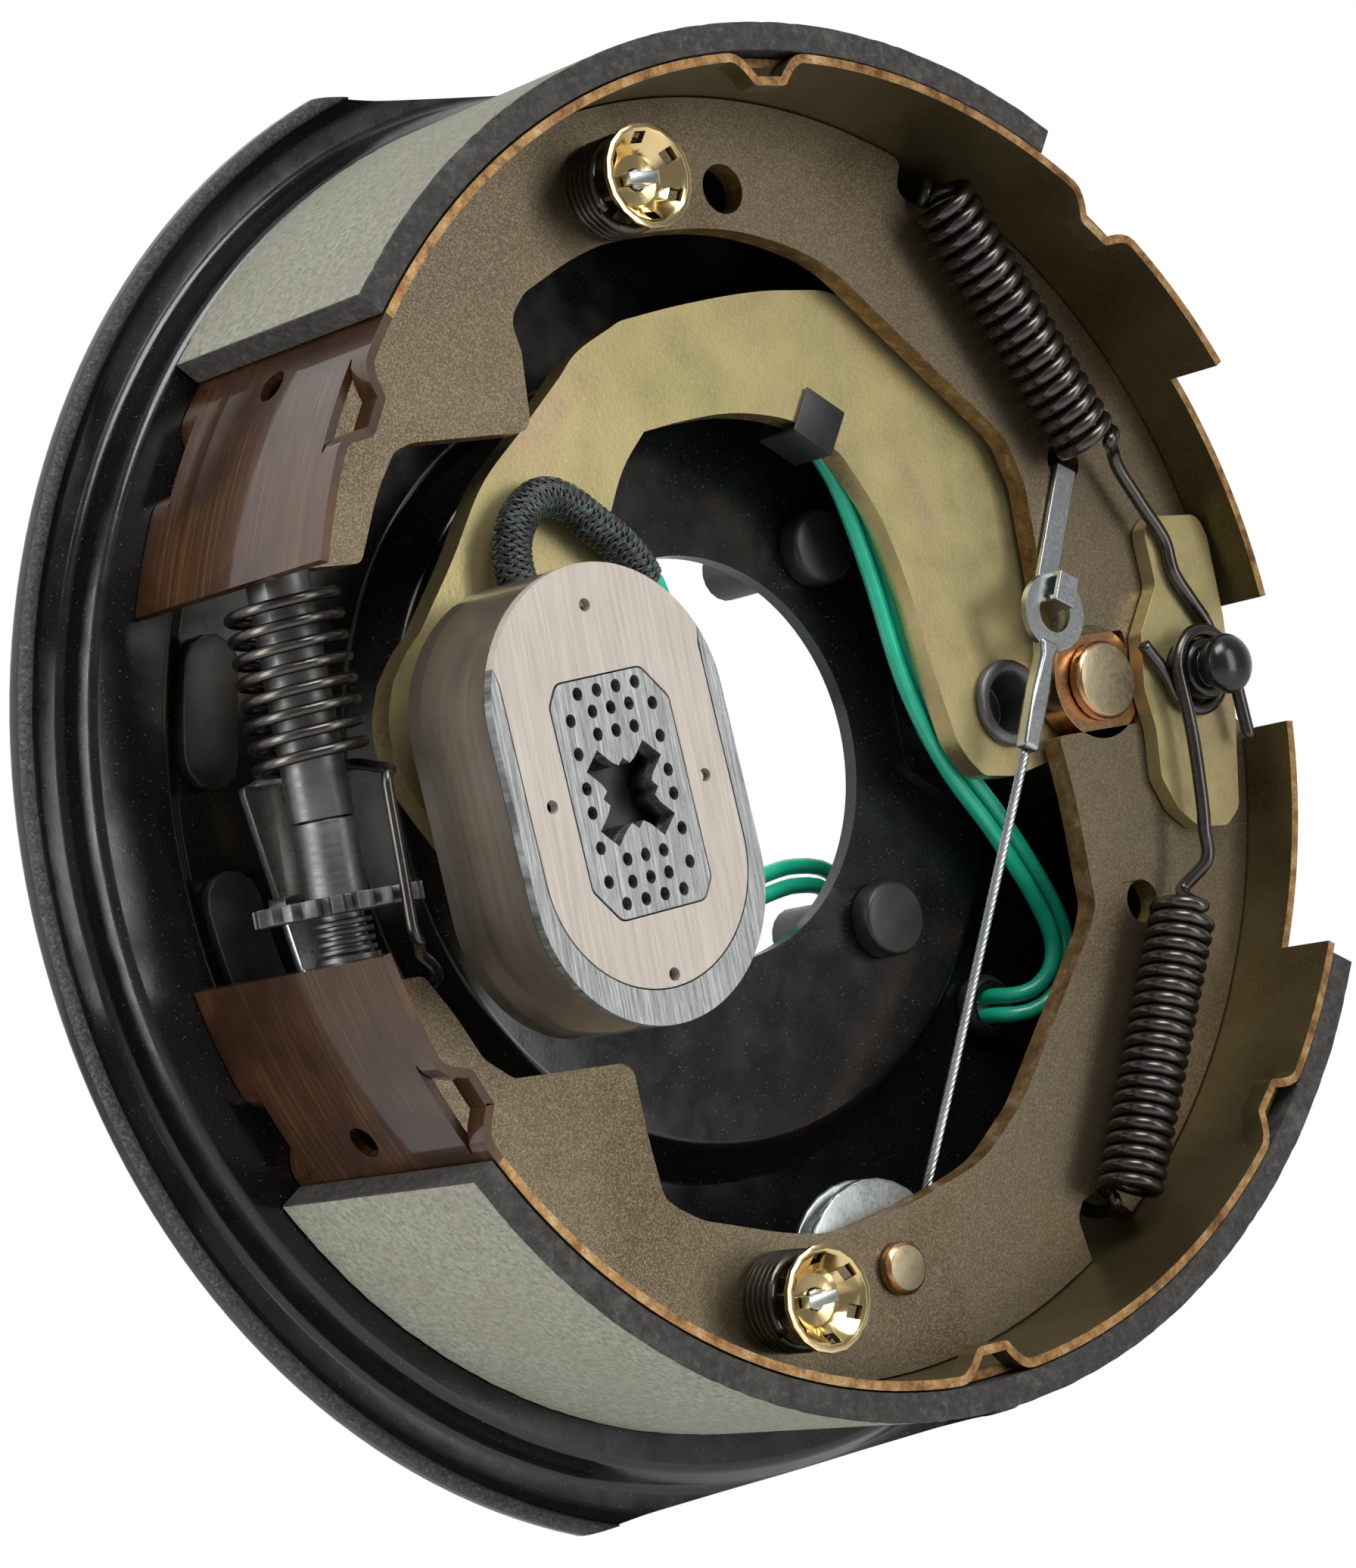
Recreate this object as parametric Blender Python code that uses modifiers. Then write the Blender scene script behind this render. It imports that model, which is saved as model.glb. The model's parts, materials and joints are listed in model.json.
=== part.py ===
"""Self-adjusting electric trailer brake, 10 x 2-1/4 inch.

Metres, +Z up. The origin is the centre of the hub hole, on the rear mounting
face of the backing plate. -Y is the wheel side, which faces the viewer, and
+Y is the axle side. +X points to the anchor post, -X to the adjuster.
"""
import math

import bmesh
import bpy
from mathutils import Matrix, Vector

# Clearances
GAP = 0.0003  # between pieces that touch
RUN = 0.0004  # round a turning or sliding fit

# Backing plate
PLATE_T = 0.0032
PLATEAU_R = 0.0710
FLOOR_DROP = 0.0085
LEDGE_INSIDE = 0.0110  # of the linings' outer radius
LEDGE_OUTSIDE = 0.0040
CHANNEL_W = 0.0137
CHANNEL_DROP = 0.0061
RIM_LIP = 0.0049
RIM_Z = -0.0022  # the rim is centred a little below the hub hole
FLAT_CUT = 0.0109  # from the rim's radius to each flat
HUB_R = 0.0388
PLATE_STEPS = 56

# Adjusting slots, as angles about the rim's centre
SLOT_INSIDE = 0.0091  # of the ledge's inner radius
SLOTS = ((162.2, 171.2), (185.0, 194.6))
PLUG_NECK = 0.0038  # half its width
PLUG_LIP = 0.0018

# Mounting studs
STUD_PITCH = 0.0730
STUD_R = 0.0055
STUD_HEAD_R = 0.0074
STUD_HEAD_T = 0.0050
STUD_LENGTH = 0.0270

# Shoes
SHOE_W = 0.0570
LINING_R = 0.1265
LINING_T = 0.0054
TABLE_T = 0.0017
WEB_T = 0.0048
WEB_BACK_SET = 0.0273  # from the shoe's back edge to the web's back face
UPPER_X, UPPER_Z = -0.0013, 0.0017
LOWER_X, LOWER_Z = -0.0004, 0.0005
UPPER_LINING = (55.0, 139.7)
LOWER_LINING = (-148.8, -29.5)
TOE_UP = 0.0414  # height of the upper shoe's toe, on the adjuster's fork
TOE_LOW = -0.0295
UPPER_CRIMPS = (46.5, 88.0, 147.8)
LOWER_CRIMPS = (-153.8, -91.0, -46.5)
CRIMP_DEPTH = 0.0046
CRIMP_HALF = 4.3  # degrees
CRIMP_LENGTH = 0.0085
HEEL_CUT = 0.0127  # the table is narrower at the anchor end
UPPER_HEEL = 27.7
LOWER_HEEL = -28.7
SLOT_HOLE_R = 0.0031

# Anchor post and guide plate
POST_X = 0.1020
POST_R = 0.0060
POST_FLANGE_R = 0.0125
POST_FLANGE_T = 0.0040
BALL_R = 0.0049
BALL_OUT = 0.0045  # ball centre ahead of the post's shoulder
NECK_R = 0.0036
GUIDE_T = 0.0036

# Lever arm, pivot and drive block
ARM_T = 0.0050
ARM_BEHIND_WEB = 0.0017
PIVOT_X = 0.0615
PIVOT_R = 0.0070
PIVOT_COLLAR_R = 0.0086
PIVOT_BORE_R = 0.0056
BLOCK_X, BLOCK_Z = 0.0804, 0.0012
BLOCK_SIDE = 0.0166
BLOCK_GAP = 0.0010  # free play to each web
PIN_HEAD_R = 0.0078
PIN_R = 0.0052

# Magnet
MAGNET_X, MAGNET_Z = -0.0637, -0.0063
MAGNET_TURN = math.radians(-3.3)
MAGNET_R = 0.0253
MAGNET_STRAIGHT = 0.0149  # half of the straight part
MAGNET_AHEAD = 0.0040  # of the linings' front edges
MAGNET_DEPTH = 0.0240
POLE_T = 0.0020
PAD_R = 0.0222
PAD_DROP = 0.0318  # centre of the pad's lower round end
CORE_HALF_X, CORE_HALF_Z = 0.0129, 0.0207
SPIGOT_R = 0.0045
SPIGOT_REACH = 0.0062  # into the magnet's bore
MAGNET_BORE = 0.0150

# Hold-downs
HOLD_UP = (-0.0209, 0.1032)
HOLD_LOW = (-0.0292, -0.0998)
HOLD_PIN_R = 0.0019
CUP_R = 0.0098
CUP_T = 0.0009
CUP_STAND = 0.0145  # cup rim ahead of the web
HOLD_SPRING_R = 0.0083
HOLD_WIRE_R = 0.00105

# Return springs
COIL_R = 0.0052
COIL_WIRE_R = 0.00135
COIL_PITCH = 0.0034
COIL_STAND = 0.0080  # coil axis ahead of the web

# Adjuster
ADJ_X = -0.1057
TUBE_R = 0.0056
TUBE_LOW = -0.0010
BARREL_R = 0.0054
STAR_R = 0.0147
STAR_T = 0.0030
STAR_TEETH = 20
STAR_TOP = -0.0143
SCREW_R = 0.0052
NUT_TOP = -0.0245
ADJ_COIL_R = 0.0094
ADJ_WIRE_R = 0.0010
ADJ_COIL_DOWN = 0.0042  # top of the coil below the upper toe
ADJ_COIL_LOW = 0.0075
ADJ_TURNS = 8

# Self-adjust lever, cable, link and guide
BLADE_T = 0.0018
BLADE_PIN_X, BLADE_PIN_Z = -0.0820, -0.0590
BLADE_PIN_R = 0.0026
GUIDE_X, GUIDE_Z = 0.0010, -0.0995
GUIDE_R = 0.0172
GROOVE_R = 0.0132
GUIDE_W = 0.0056
RIVET_R = 0.0050
CABLE_R = 0.0010
LINK_X, LINK_Z = 0.0827, 0.0448
RING_X, RING_Z = 0.0675, 0.0155
RING_R = 0.0076
RING_HOLE_R = 0.0040
RING_T = 0.0014
LINK_T = 0.0011
LINK_W = 0.0046

# Leads, sleeve, clip and grommet
LEAD_R = 0.0016
SLEEVE_R = 0.0038
GROMMET_X, GROMMET_Z = 0.0660, -0.0575
GROMMET_R = 0.0066
COIL_X, COIL_Z = -0.0620, -0.0600
TAIL_COIL_R = 0.0260
TAIL_COIL_T = 0.0080
CLIP_T = 0.0008
CLIP_W = 0.0100

# Places that follow from the sizes above, along Y
PLATEAU_Y = -PLATE_T
FLOOR_Y = PLATEAU_Y + FLOOR_DROP
LEDGE_Y = FLOOR_Y - 0.0031
CHANNEL_Y = LEDGE_Y + CHANNEL_DROP
SHOE_BACK = LEDGE_Y - GAP
SHOE_FRONT = SHOE_BACK - SHOE_W
WEB_BACK = SHOE_BACK - WEB_BACK_SET
WEB_FRONT = WEB_BACK - WEB_T
WEB_Y = (WEB_BACK + WEB_FRONT) / 2
TABLE_OUT = LINING_R - LINING_T - GAP
TABLE_IN = TABLE_OUT - TABLE_T
WEB_OUT = TABLE_IN - GAP
ARM_FRONT = WEB_BACK + ARM_BEHIND_WEB
ARM_BACK = ARM_FRONT + ARM_T
GUIDE_BACK = WEB_FRONT - GAP
GUIDE_FRONT = GUIDE_BACK - GUIDE_T
COIL_Y = WEB_FRONT - COIL_STAND
HOOK_BACK = GUIDE_FRONT - GAP - COIL_WIRE_R
HOOK_FRONT = HOOK_BACK - 2 * COIL_WIRE_R - GAP
POST_TIP = HOOK_FRONT - COIL_WIRE_R
MAGNET_FRONT = SHOE_FRONT - MAGNET_AHEAD
MAGNET_BACK = MAGNET_FRONT + MAGNET_DEPTH
CASE_FRONT = MAGNET_FRONT + POLE_T + GAP
ADJ_Y = WEB_Y
ADJ_BACK = ADJ_Y + STAR_R
BLADE_FRONT = ADJ_BACK + RUN
BLADE_BACK = BLADE_FRONT + BLADE_T
GUIDE_DISC_FRONT = WEB_BACK + GAP
GROOVE_Y = GUIDE_DISC_FRONT + GUIDE_W / 2
CUP_RIM = WEB_FRONT - CUP_STAND
CUP_BASE = CUP_RIM + 0.0040
RING_Y = WEB_FRONT - 0.0038
REAR_Y = FLOOR_Y + PLATE_T
TAIL_Y = CHANNEL_Y + PLATE_T + 0.0045

# Places that follow along the radius, and round it
LEDGE_R_IN = LINING_R - LEDGE_INSIDE
LEDGE_R_OUT = LINING_R + LEDGE_OUTSIDE
RIM_R = LEDGE_R_OUT + CHANNEL_W
FLAT_H = RIM_R - FLAT_CUT
SLOT_RING_R = LEDGE_R_IN - SLOT_INSIDE
UPPER_TOE = 180.0 - math.degrees(math.asin((TOE_UP + 0.000542 - UPPER_Z) / WEB_OUT))
LOWER_TOE = math.degrees(math.asin((LOWER_Z + 0.000347 - TOE_LOW) / WEB_OUT)) - 180.0
UPPER_TABLE = (5.0, UPPER_TOE + 1.3)
LOWER_TABLE = (LOWER_TOE - 2.2, -6.5)
ADJ_COIL_TOP = TOE_UP - ADJ_COIL_DOWN

for old in list(bpy.data.objects):
    bpy.data.objects.remove(old, do_unlink=True)

PARTS = bpy.data.collections.new("Electric trailer brake")
CUTTERS = bpy.data.collections.new("Cutters")
for group in (PARTS, CUTTERS):
    bpy.context.scene.collection.children.link(group)


def material(name, colour, roughness, metallic):
    made = bpy.data.materials.new(name)
    made.use_nodes = True
    shader = made.node_tree.nodes["Principled BSDF"]
    shader.inputs["Base Color"].default_value = (*colour, 1.0)
    shader.inputs["Roughness"].default_value = roughness
    shader.inputs["Metallic"].default_value = metallic
    return made


BLACK_PAINT = material("black paint", (0.012, 0.012, 0.013), 0.25, 0.0)
BLACK_STEEL = material("black steel", (0.03, 0.03, 0.032), 0.4, 0.8)
OLIVE_ZINC = material("olive zinc", (0.19, 0.14, 0.075), 0.45, 0.8)
LINING = material("lining", (0.26, 0.27, 0.22), 0.9, 0.0)
YELLOW_ZINC = material("yellow zinc", (0.48, 0.42, 0.22), 0.4, 0.8)
GOLD_ZINC = material("gold zinc", (0.75, 0.52, 0.2), 0.2, 1.0)
BRIGHT_ZINC = material("bright zinc", (0.6, 0.63, 0.65), 0.3, 1.0)
SPRING_STEEL = material("spring steel", (0.09, 0.08, 0.075), 0.35, 0.9)
GREY_STEEL = material("grey steel", (0.22, 0.22, 0.22), 0.4, 0.9)
RESIN = material("smoky resin", (0.11, 0.09, 0.07), 0.2, 0.1)
FRICTION = material("friction pad", (0.58, 0.48, 0.4), 0.6, 0.1)
POLE_STEEL = material("ground steel", (0.5, 0.52, 0.53), 0.35, 1.0)
RUBBER = material("black rubber", (0.015, 0.015, 0.015), 0.6, 0.0)
BRAID = material("braided sleeve", (0.03, 0.035, 0.033), 0.6, 0.0)
GREEN = material("green lead", (0.01, 0.42, 0.26), 0.35, 0.0)


def keep(obj, name, mat, smooth=True):
    """Names a part, gives it its material and moves it to the parts."""
    obj.name = name
    obj.data.name = name
    obj.data.materials.clear()
    obj.data.materials.append(mat)
    for group in list(obj.users_collection):
        group.objects.unlink(obj)
    PARTS.objects.link(obj)
    if smooth and obj.type == "MESH":
        obj.data.shade_smooth()
        obj.data.set_sharp_from_angle(angle=math.radians(35))
    return obj


def tool(obj):
    """Makes an object a cutter."""
    for group in list(obj.users_collection):
        group.objects.unlink(obj)
    CUTTERS.objects.link(obj)
    obj.hide_render = True
    obj.display_type = "WIRE"
    return obj


def boolean(target, other, operation="DIFFERENCE"):
    tool(other)
    step = target.modifiers.new(operation.lower(), "BOOLEAN")
    step.operation = operation
    step.solver = "EXACT"
    step.object = other
    return target


def point(centre, radius, degrees):
    angle = math.radians(degrees)
    return (centre[0] + radius * math.cos(angle), centre[1] + radius * math.sin(angle))


def arc(centre, radius, start, end, count):
    step = (end - start) / count
    return [point(centre, radius, start + step * i) for i in range(count + 1)]


def circle(centre, radius, count=16):
    return arc(centre, radius, 0, 360 - 360 / count, count - 1)


def fillet(corners, count=3):
    """A closed outline whose corners given as (x, z, r) are rounded."""
    made = []
    total = len(corners)
    for i, corner in enumerate(corners):
        here = Vector(corner[:2])
        if len(corner) < 3:
            made.append(tuple(here))
            continue
        before = Vector(corners[i - 1][:2]) - here
        after = Vector(corners[(i + 1) % total][:2]) - here
        half = before.angle(after) / 2
        reach = min(corner[2] / math.tan(half), before.length * 0.49, after.length * 0.49)
        first = here + before.normalized() * reach
        last = here + after.normalized() * reach
        middle = here + (before.normalized() + after.normalized()).normalized() * (
            reach / math.cos(half)
        )
        sweep_from = first - middle
        turn = sweep_from.angle_signed(last - middle)
        for k in range(count + 1):
            spoke = sweep_from.copy()
            spoke.rotate(Matrix.Rotation(-turn * k / count, 2))
            made.append(tuple(middle + spoke))
    return made


def flat(loops, front, back, centre=(0.0, 0.0), turn=0.0):
    """A flat piece cut to outlines in the XZ plane, from front to back in Y."""
    curve = bpy.data.curves.new("outline", "CURVE")
    curve.dimensions = "2D"
    curve.fill_mode = "BOTH"
    curve.extrude = (back - front) / 2
    for loop in loops:
        spline = curve.splines.new("POLY")
        spline.points.add(len(loop) - 1)
        for place, (x, z) in zip(spline.points, loop):
            place.co = (x, z, 0.0, 1.0)
        spline.use_cyclic_u = True
    obj = bpy.data.objects.new("outline", curve)
    bpy.context.scene.collection.objects.link(obj)
    obj.rotation_euler = (math.pi / 2, turn, 0.0)
    obj.location = (centre[0], (front + back) / 2, centre[1])
    return obj


def as_mesh(obj):
    """The same object as a closed mesh, which a Boolean can take."""
    bpy.context.view_layer.update()
    graph = bpy.context.evaluated_depsgraph_get()
    mesh = bpy.data.meshes.new_from_object(obj.evaluated_get(graph))
    shell = bmesh.new()
    shell.from_mesh(mesh)
    bmesh.ops.remove_doubles(shell, verts=shell.verts, dist=0.00001)
    bmesh.ops.recalc_face_normals(shell, faces=shell.faces)
    shell.to_mesh(mesh)
    shell.free()
    made = bpy.data.objects.new(obj.name, mesh)
    bpy.context.scene.collection.objects.link(made)
    made.matrix_world = obj.matrix_world.copy()
    bpy.data.objects.remove(obj, do_unlink=True)
    return made


def flat_solid(loops, front, back, centre=(0.0, 0.0), turn=0.0):
    return as_mesh(flat(loops, front, back, centre, turn))


def turned(profile, centre, steps=24, closed=False):
    """A turned piece about a Y axis. The profile holds (radius, y) pairs.

    It runs from front to back down the outer side.
    """
    mesh = bpy.data.meshes.new("profile")
    shell = bmesh.new()
    verts = [shell.verts.new((r, 0.0, -y)) for r, y in profile]
    for a, b in zip(verts, verts[1:]):
        shell.edges.new((a, b))
    if closed:
        shell.edges.new((verts[-1], verts[0]))
    shell.to_mesh(mesh)
    shell.free()
    obj = bpy.data.objects.new("turned", mesh)
    bpy.context.scene.collection.objects.link(obj)
    spin = obj.modifiers.new("spin", "SCREW")
    spin.steps = steps
    spin.render_steps = steps
    spin.use_merge_vertices = True
    spin.merge_threshold = 0.00001
    obj.rotation_euler = (math.pi / 2, 0.0, 0.0)
    obj.location = (centre[0], 0.0, centre[1])
    return obj


def rod(radius, front, back, centre, count=20):
    """A cylinder along Y."""
    bpy.ops.mesh.primitive_cylinder_add(
        vertices=count,
        radius=radius,
        depth=back - front,
        location=(centre[0], (front + back) / 2, centre[1]),
        rotation=(math.pi / 2, 0.0, 0.0),
    )
    return bpy.context.object


def upright(radius, low, high, centre, count=20):
    """A cylinder along Z. The centre is (x, y)."""
    bpy.ops.mesh.primitive_cylinder_add(
        vertices=count,
        radius=radius,
        depth=high - low,
        location=(centre[0], centre[1], (low + high) / 2),
    )
    return bpy.context.object


def box(low, high):
    bpy.ops.mesh.primitive_cube_add(size=1.0, location=(Vector(low) + Vector(high)) / 2)
    obj = bpy.context.object
    size = Vector(high) - Vector(low)
    obj.data.transform(Matrix.Diagonal((*size, 1.0)))
    return obj


def wire(points, radius, rounds=1):
    """A round wire along its points, with closed ends."""
    curve = bpy.data.curves.new("wire", "CURVE")
    curve.dimensions = "3D"
    curve.bevel_depth = radius
    curve.bevel_resolution = rounds
    curve.use_fill_caps = True
    spline = curve.splines.new("POLY")
    spline.points.add(len(points) - 1)
    for place, co in zip(spline.points, points):
        place.co = (*co, 1.0)
    obj = bpy.data.objects.new("wire", curve)
    bpy.context.scene.collection.objects.link(obj)
    return obj


def smooth_path(route, step):
    """Points about a step apart on a smooth curve through the route."""
    route = [Vector(p) for p in route]
    ends = [2 * route[0] - route[1], *route, 2 * route[-1] - route[-2]]
    made = []
    for a, b, c, d in zip(ends, ends[1:], ends[2:], ends[3:]):
        count = max(1, round((c - b).length / step))
        for k in range(count):
            t = k / count
            made.append(
                0.5
                * (
                    2 * b
                    + (c - a) * t
                    + (2 * a - 5 * b + 4 * c - d) * t * t
                    + (3 * b - a - 3 * c + d) * t ** 3
                )
            )
    made.append(route[-1])
    return made


def beside(path, side, distance):
    """The path moved sideways by a distance, in the XZ plane where it can be."""
    made = []
    side = Vector(side)
    for i, here in enumerate(path):
        ahead = path[min(i + 1, len(path) - 1)] - path[max(i - 1, 0)]
        ahead.normalize()
        across = ahead.cross((0, 1, 0))
        if across.length > 0.5:
            side = across if across.dot(side) > 0 else -across
        side = (side - ahead * side.dot(ahead)).normalized()
        made.append(here + side * distance)
    return made


def coil(start, end, radius, turns, per_turn=8, phase=0.0, reference=(0, 1, 0)):
    """The points of a coil from start to end."""
    start, end = Vector(start), Vector(end)
    along = (end - start).normalized()
    u = Vector(reference)
    u = (u - along * u.dot(along)).normalized()
    v = along.cross(u)
    count = round(turns * per_turn)
    made = []
    for i in range(count + 1):
        angle = 2 * math.pi * i / per_turn + phase
        centre = start.lerp(end, i / count)
        made.append(centre + (u * math.cos(angle) + v * math.sin(angle)) * radius)
    return made


def strip(profile, width, place, along):
    """A bent strip. Its profile holds (s, y), with s along a way in XZ."""
    curve = bpy.data.curves.new("strip", "CURVE")
    curve.dimensions = "2D"
    curve.fill_mode = "BOTH"
    curve.extrude = width / 2
    spline = curve.splines.new("POLY")
    spline.points.add(len(profile) - 1)
    for spot, (s, y) in zip(spline.points, profile):
        spot.co = (s, y, 0.0, 1.0)
    spline.use_cyclic_u = True
    obj = bpy.data.objects.new("strip", curve)
    bpy.context.scene.collection.objects.link(obj)
    axes = Matrix(
        ((along[0], 0.0, -along[1]), (0.0, 1.0, 0.0), (along[1], 0.0, along[0]))
    )
    obj.matrix_world = Matrix.Translation((place[0], 0.0, place[1])) @ axes.to_4x4()
    return obj


def carry(name, place, *parts):
    """An empty on a joint's axis, which carries the parts that move about it."""
    empty = bpy.data.objects.new(name, None)
    empty.empty_display_size = 0.01
    empty.location = place
    PARTS.objects.link(empty)
    for part in parts:
        child = bpy.data.objects[part]
        child.parent = empty
        child.matrix_parent_inverse = empty.matrix_basis.inverted()


HUB = (0.0, 0.0)
POST = (POST_X, 0.0)
PIVOT = (PIVOT_X, 0.0)
BLOCK = (BLOCK_X, BLOCK_Z)
MAGNET = (MAGNET_X, MAGNET_Z)
UPPER = (UPPER_X, UPPER_Z)
LOWER = (LOWER_X, LOWER_Z)
STUDS = [(x * STUD_PITCH / 2, z * STUD_PITCH / 2) for x in (-1, 1) for z in (1, -1)]


# The backing plate: a pressed dish of one thickness, with a turned-up lip
rim_in = RIM_R - 0.0030
front_line = [
    (HUB_R - 0.0030, PLATEAU_Y),
    (PLATEAU_R, PLATEAU_Y),
    (PLATEAU_R + 0.0055, FLOOR_Y),
    (LEDGE_R_IN - 0.0030, FLOOR_Y),
    (LEDGE_R_IN, LEDGE_Y),
    (LEDGE_R_OUT, LEDGE_Y),
    (LEDGE_R_OUT + 0.0030, CHANNEL_Y),
    (rim_in - 0.0028, CHANNEL_Y),
    (rim_in, CHANNEL_Y - 0.0024),
    (rim_in, CHANNEL_Y - RIM_LIP),
]
back_line = [
    (RIM_R, CHANNEL_Y - RIM_LIP),
    (RIM_R, CHANNEL_Y - 0.0010),
    (RIM_R - 0.0035, CHANNEL_Y + PLATE_T),
    (LEDGE_R_OUT + 0.0015, CHANNEL_Y + PLATE_T),
    (LEDGE_R_OUT - 0.0015, LEDGE_Y + PLATE_T),
    (LEDGE_R_IN + 0.0015, LEDGE_Y + PLATE_T),
    (LEDGE_R_IN - 0.0015, FLOOR_Y + PLATE_T),
    (PLATEAU_R + 0.0040, FLOOR_Y + PLATE_T),
    (PLATEAU_R - 0.0015, 0.0),
    (HUB_R - 0.0030, 0.0),
]
plate = turned(back_line + front_line, (0.0, RIM_Z), PLATE_STEPS, closed=True)

# The plateau runs on to the right as a pressed boss that carries the post
boss_line = [
    (0.0640, 0.0220),
    (0.0860, 0.0190, 0.010),
    (POST_X + POST_FLANGE_R + 0.0015, 0.0130, 0.012),
    (POST_X + POST_FLANGE_R + 0.0015, -0.0130, 0.012),
    (0.0860, -0.0190, 0.010),
    (0.0640, -0.0220),
]
inner_line = [
    (0.0600, 0.0190),
    (0.0850, 0.0160, 0.008),
    (POST_X + POST_FLANGE_R - 0.0017, 0.0110, 0.008),
    (POST_X + POST_FLANGE_R - 0.0017, -0.0110, 0.008),
    (0.0850, -0.0160, 0.008),
    (0.0600, -0.0190),
]
boss_y = 0.0001
boolean(plate, flat_solid([fillet(boss_line)], PLATEAU_Y + boss_y, FLOOR_Y + 0.0015), "UNION")
boolean(plate, flat_solid([fillet(inner_line)], boss_y, REAR_Y + 0.0020))
boolean(plate, rod(HUB_R, PLATEAU_Y - 0.002, 0.002, HUB, 48))
for place in STUDS:
    boolean(plate, rod(STUD_R + GAP, PLATEAU_Y - 0.002, 0.002, place, 16))
boolean(plate, rod(POST_R + GAP, PLATEAU_Y - 0.002, 0.002, POST, 20))
boolean(plate, rod(0.0040 + GAP, PLATEAU_Y - 0.002, 0.002, PIVOT, 16))
for place in (HOLD_UP, HOLD_LOW):
    boolean(plate, rod(HOLD_PIN_R + GAP, FLOOR_Y - 0.003, REAR_Y + 0.002, place, 12))
boolean(
    plate,
    rod(GROMMET_R - 0.0016 + GAP, FLOOR_Y - 0.003, REAR_Y + 0.002, (GROMMET_X, GROMMET_Z), 16),
)


def arc_slot(half_width, start, end, count=4):
    """A round-ended slot that follows the ring of the adjusting holes."""
    centre = (0.0, RIM_Z)
    outer = arc(centre, SLOT_RING_R + half_width, start, end, count)
    inner = arc(centre, SLOT_RING_R - half_width, end, start, count)
    far_end = arc(point(centre, SLOT_RING_R, end), half_width, end, end + 180, 6)[1:-1]
    near_end = arc(point(centre, SLOT_RING_R, start), half_width, start + 180, start + 360, 6)
    return outer + far_end + inner + near_end[1:-1]


for span in SLOTS:
    slot = arc_slot(PLUG_NECK + GAP, span[0], span[1])
    boolean(plate, flat_solid([slot], FLOOR_Y - 0.003, REAR_Y + 0.002))
for sign in (1, -1):
    edge = RIM_Z + sign * FLAT_H
    far = RIM_Z + sign * (RIM_R + 0.010)
    low = (-RIM_R, LEDGE_Y - 0.010, min(edge, far))
    high = (RIM_R, CHANNEL_Y + 0.010, max(edge, far))
    boolean(plate, box(low, high))
keep(plate, "backing_plate", BLACK_PAINT)

# Mounting studs, pressed in from the wheel side
for i, place in enumerate(STUDS, 1):
    head_back = PLATEAU_Y - GAP
    profile = [
        (0.0, head_back - STUD_HEAD_T),
        (STUD_HEAD_R - 0.0006, head_back - STUD_HEAD_T),
        (STUD_HEAD_R, head_back - STUD_HEAD_T + 0.0006),
        (STUD_HEAD_R, head_back),
        (STUD_R, head_back),
        (STUD_R, head_back + STUD_LENGTH - 0.0010),
        (STUD_R - 0.0010, head_back + STUD_LENGTH),
        (0.0, head_back + STUD_LENGTH),
    ]
    keep(turned(profile, place, 18), f"mounting_stud_{i}", BLACK_STEEL)

# Rubber plugs in the two adjusting slots
for i, span in enumerate(SLOTS, 1):
    seat_y = FLOOR_Y - GAP
    plug = flat_solid([arc_slot(PLUG_NECK, *span)], seat_y - 0.0010, REAR_Y + 0.0010)
    flange = arc_slot(PLUG_NECK + PLUG_LIP, *span)
    boolean(plug, flat_solid([flange], seat_y - 0.0028, seat_y), "UNION")
    lip = arc_slot(PLUG_NECK + 0.0010, *span)
    boolean(plug, flat_solid([lip], REAR_Y + GAP, REAR_Y + 0.0018), "UNION")
    keep(plug, f"slot_plug_{i}", RUBBER)

# Anchor post: flange on the plate, riveted behind, ball at the front
foot = PLATEAU_Y - GAP
ball = [
    (BALL_R * math.sin(math.radians(a)), POST_TIP - BALL_OUT - BALL_R * math.cos(math.radians(a)))
    for a in (0, 22, 45, 67, 90, 112, 132)
]
post_profile = ball + [
    (NECK_R, POST_TIP),
    (POST_R, POST_TIP),
    (POST_R, foot - POST_FLANGE_T),
    (POST_FLANGE_R, foot - POST_FLANGE_T),
    (POST_FLANGE_R, foot),
    (POST_R, foot),
    (POST_R, GAP),
    (POST_R + 0.0026, GAP),
    (POST_R + 0.0014, 0.0030),
    (0.0, 0.0030),
]
keep(turned(post_profile, POST, 20), "anchor_post", BLACK_STEEL)

# Guide plate on the post, ahead of both webs
guide_line = [
    (0.0995, 0.0315, 0.003),
    (0.1125, 0.0308, 0.003),
    (0.1147, 0.0255, 0.003),
    (0.1162, 0.0000, 0.010),
    (0.1115, -0.0275, 0.003),
    (0.1065, -0.0310, 0.003),
    (0.0985, -0.0300, 0.004),
    (0.0940, -0.0215, 0.006),
    (0.0922, -0.0080, 0.010),
    (0.0918, 0.0010, 0.006),
    (0.0942, 0.0110, 0.008),
    (0.0968, 0.0205, 0.010),
]
guide_hole = circle(POST, POST_R + GAP, 20)
guide_plate = flat([fillet(guide_line), guide_hole], GUIDE_FRONT, GUIDE_BACK)
keep(guide_plate, "anchor_guide_plate", YELLOW_ZINC)

# Webs: flat plates with a seat round the post and a hook notch each
BLOCK_TOP = BLOCK_Z + BLOCK_SIDE / 2 + BLOCK_GAP
BLOCK_BOTTOM = BLOCK_Z - BLOCK_SIDE / 2 - BLOCK_GAP
BLOCK_RIGHT = BLOCK_X + BLOCK_SIDE / 2 + BLOCK_GAP
SEAT_R = POST_R + GAP + 0.0002
HORN = 0.0034  # half the space between the two webs at the post


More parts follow.
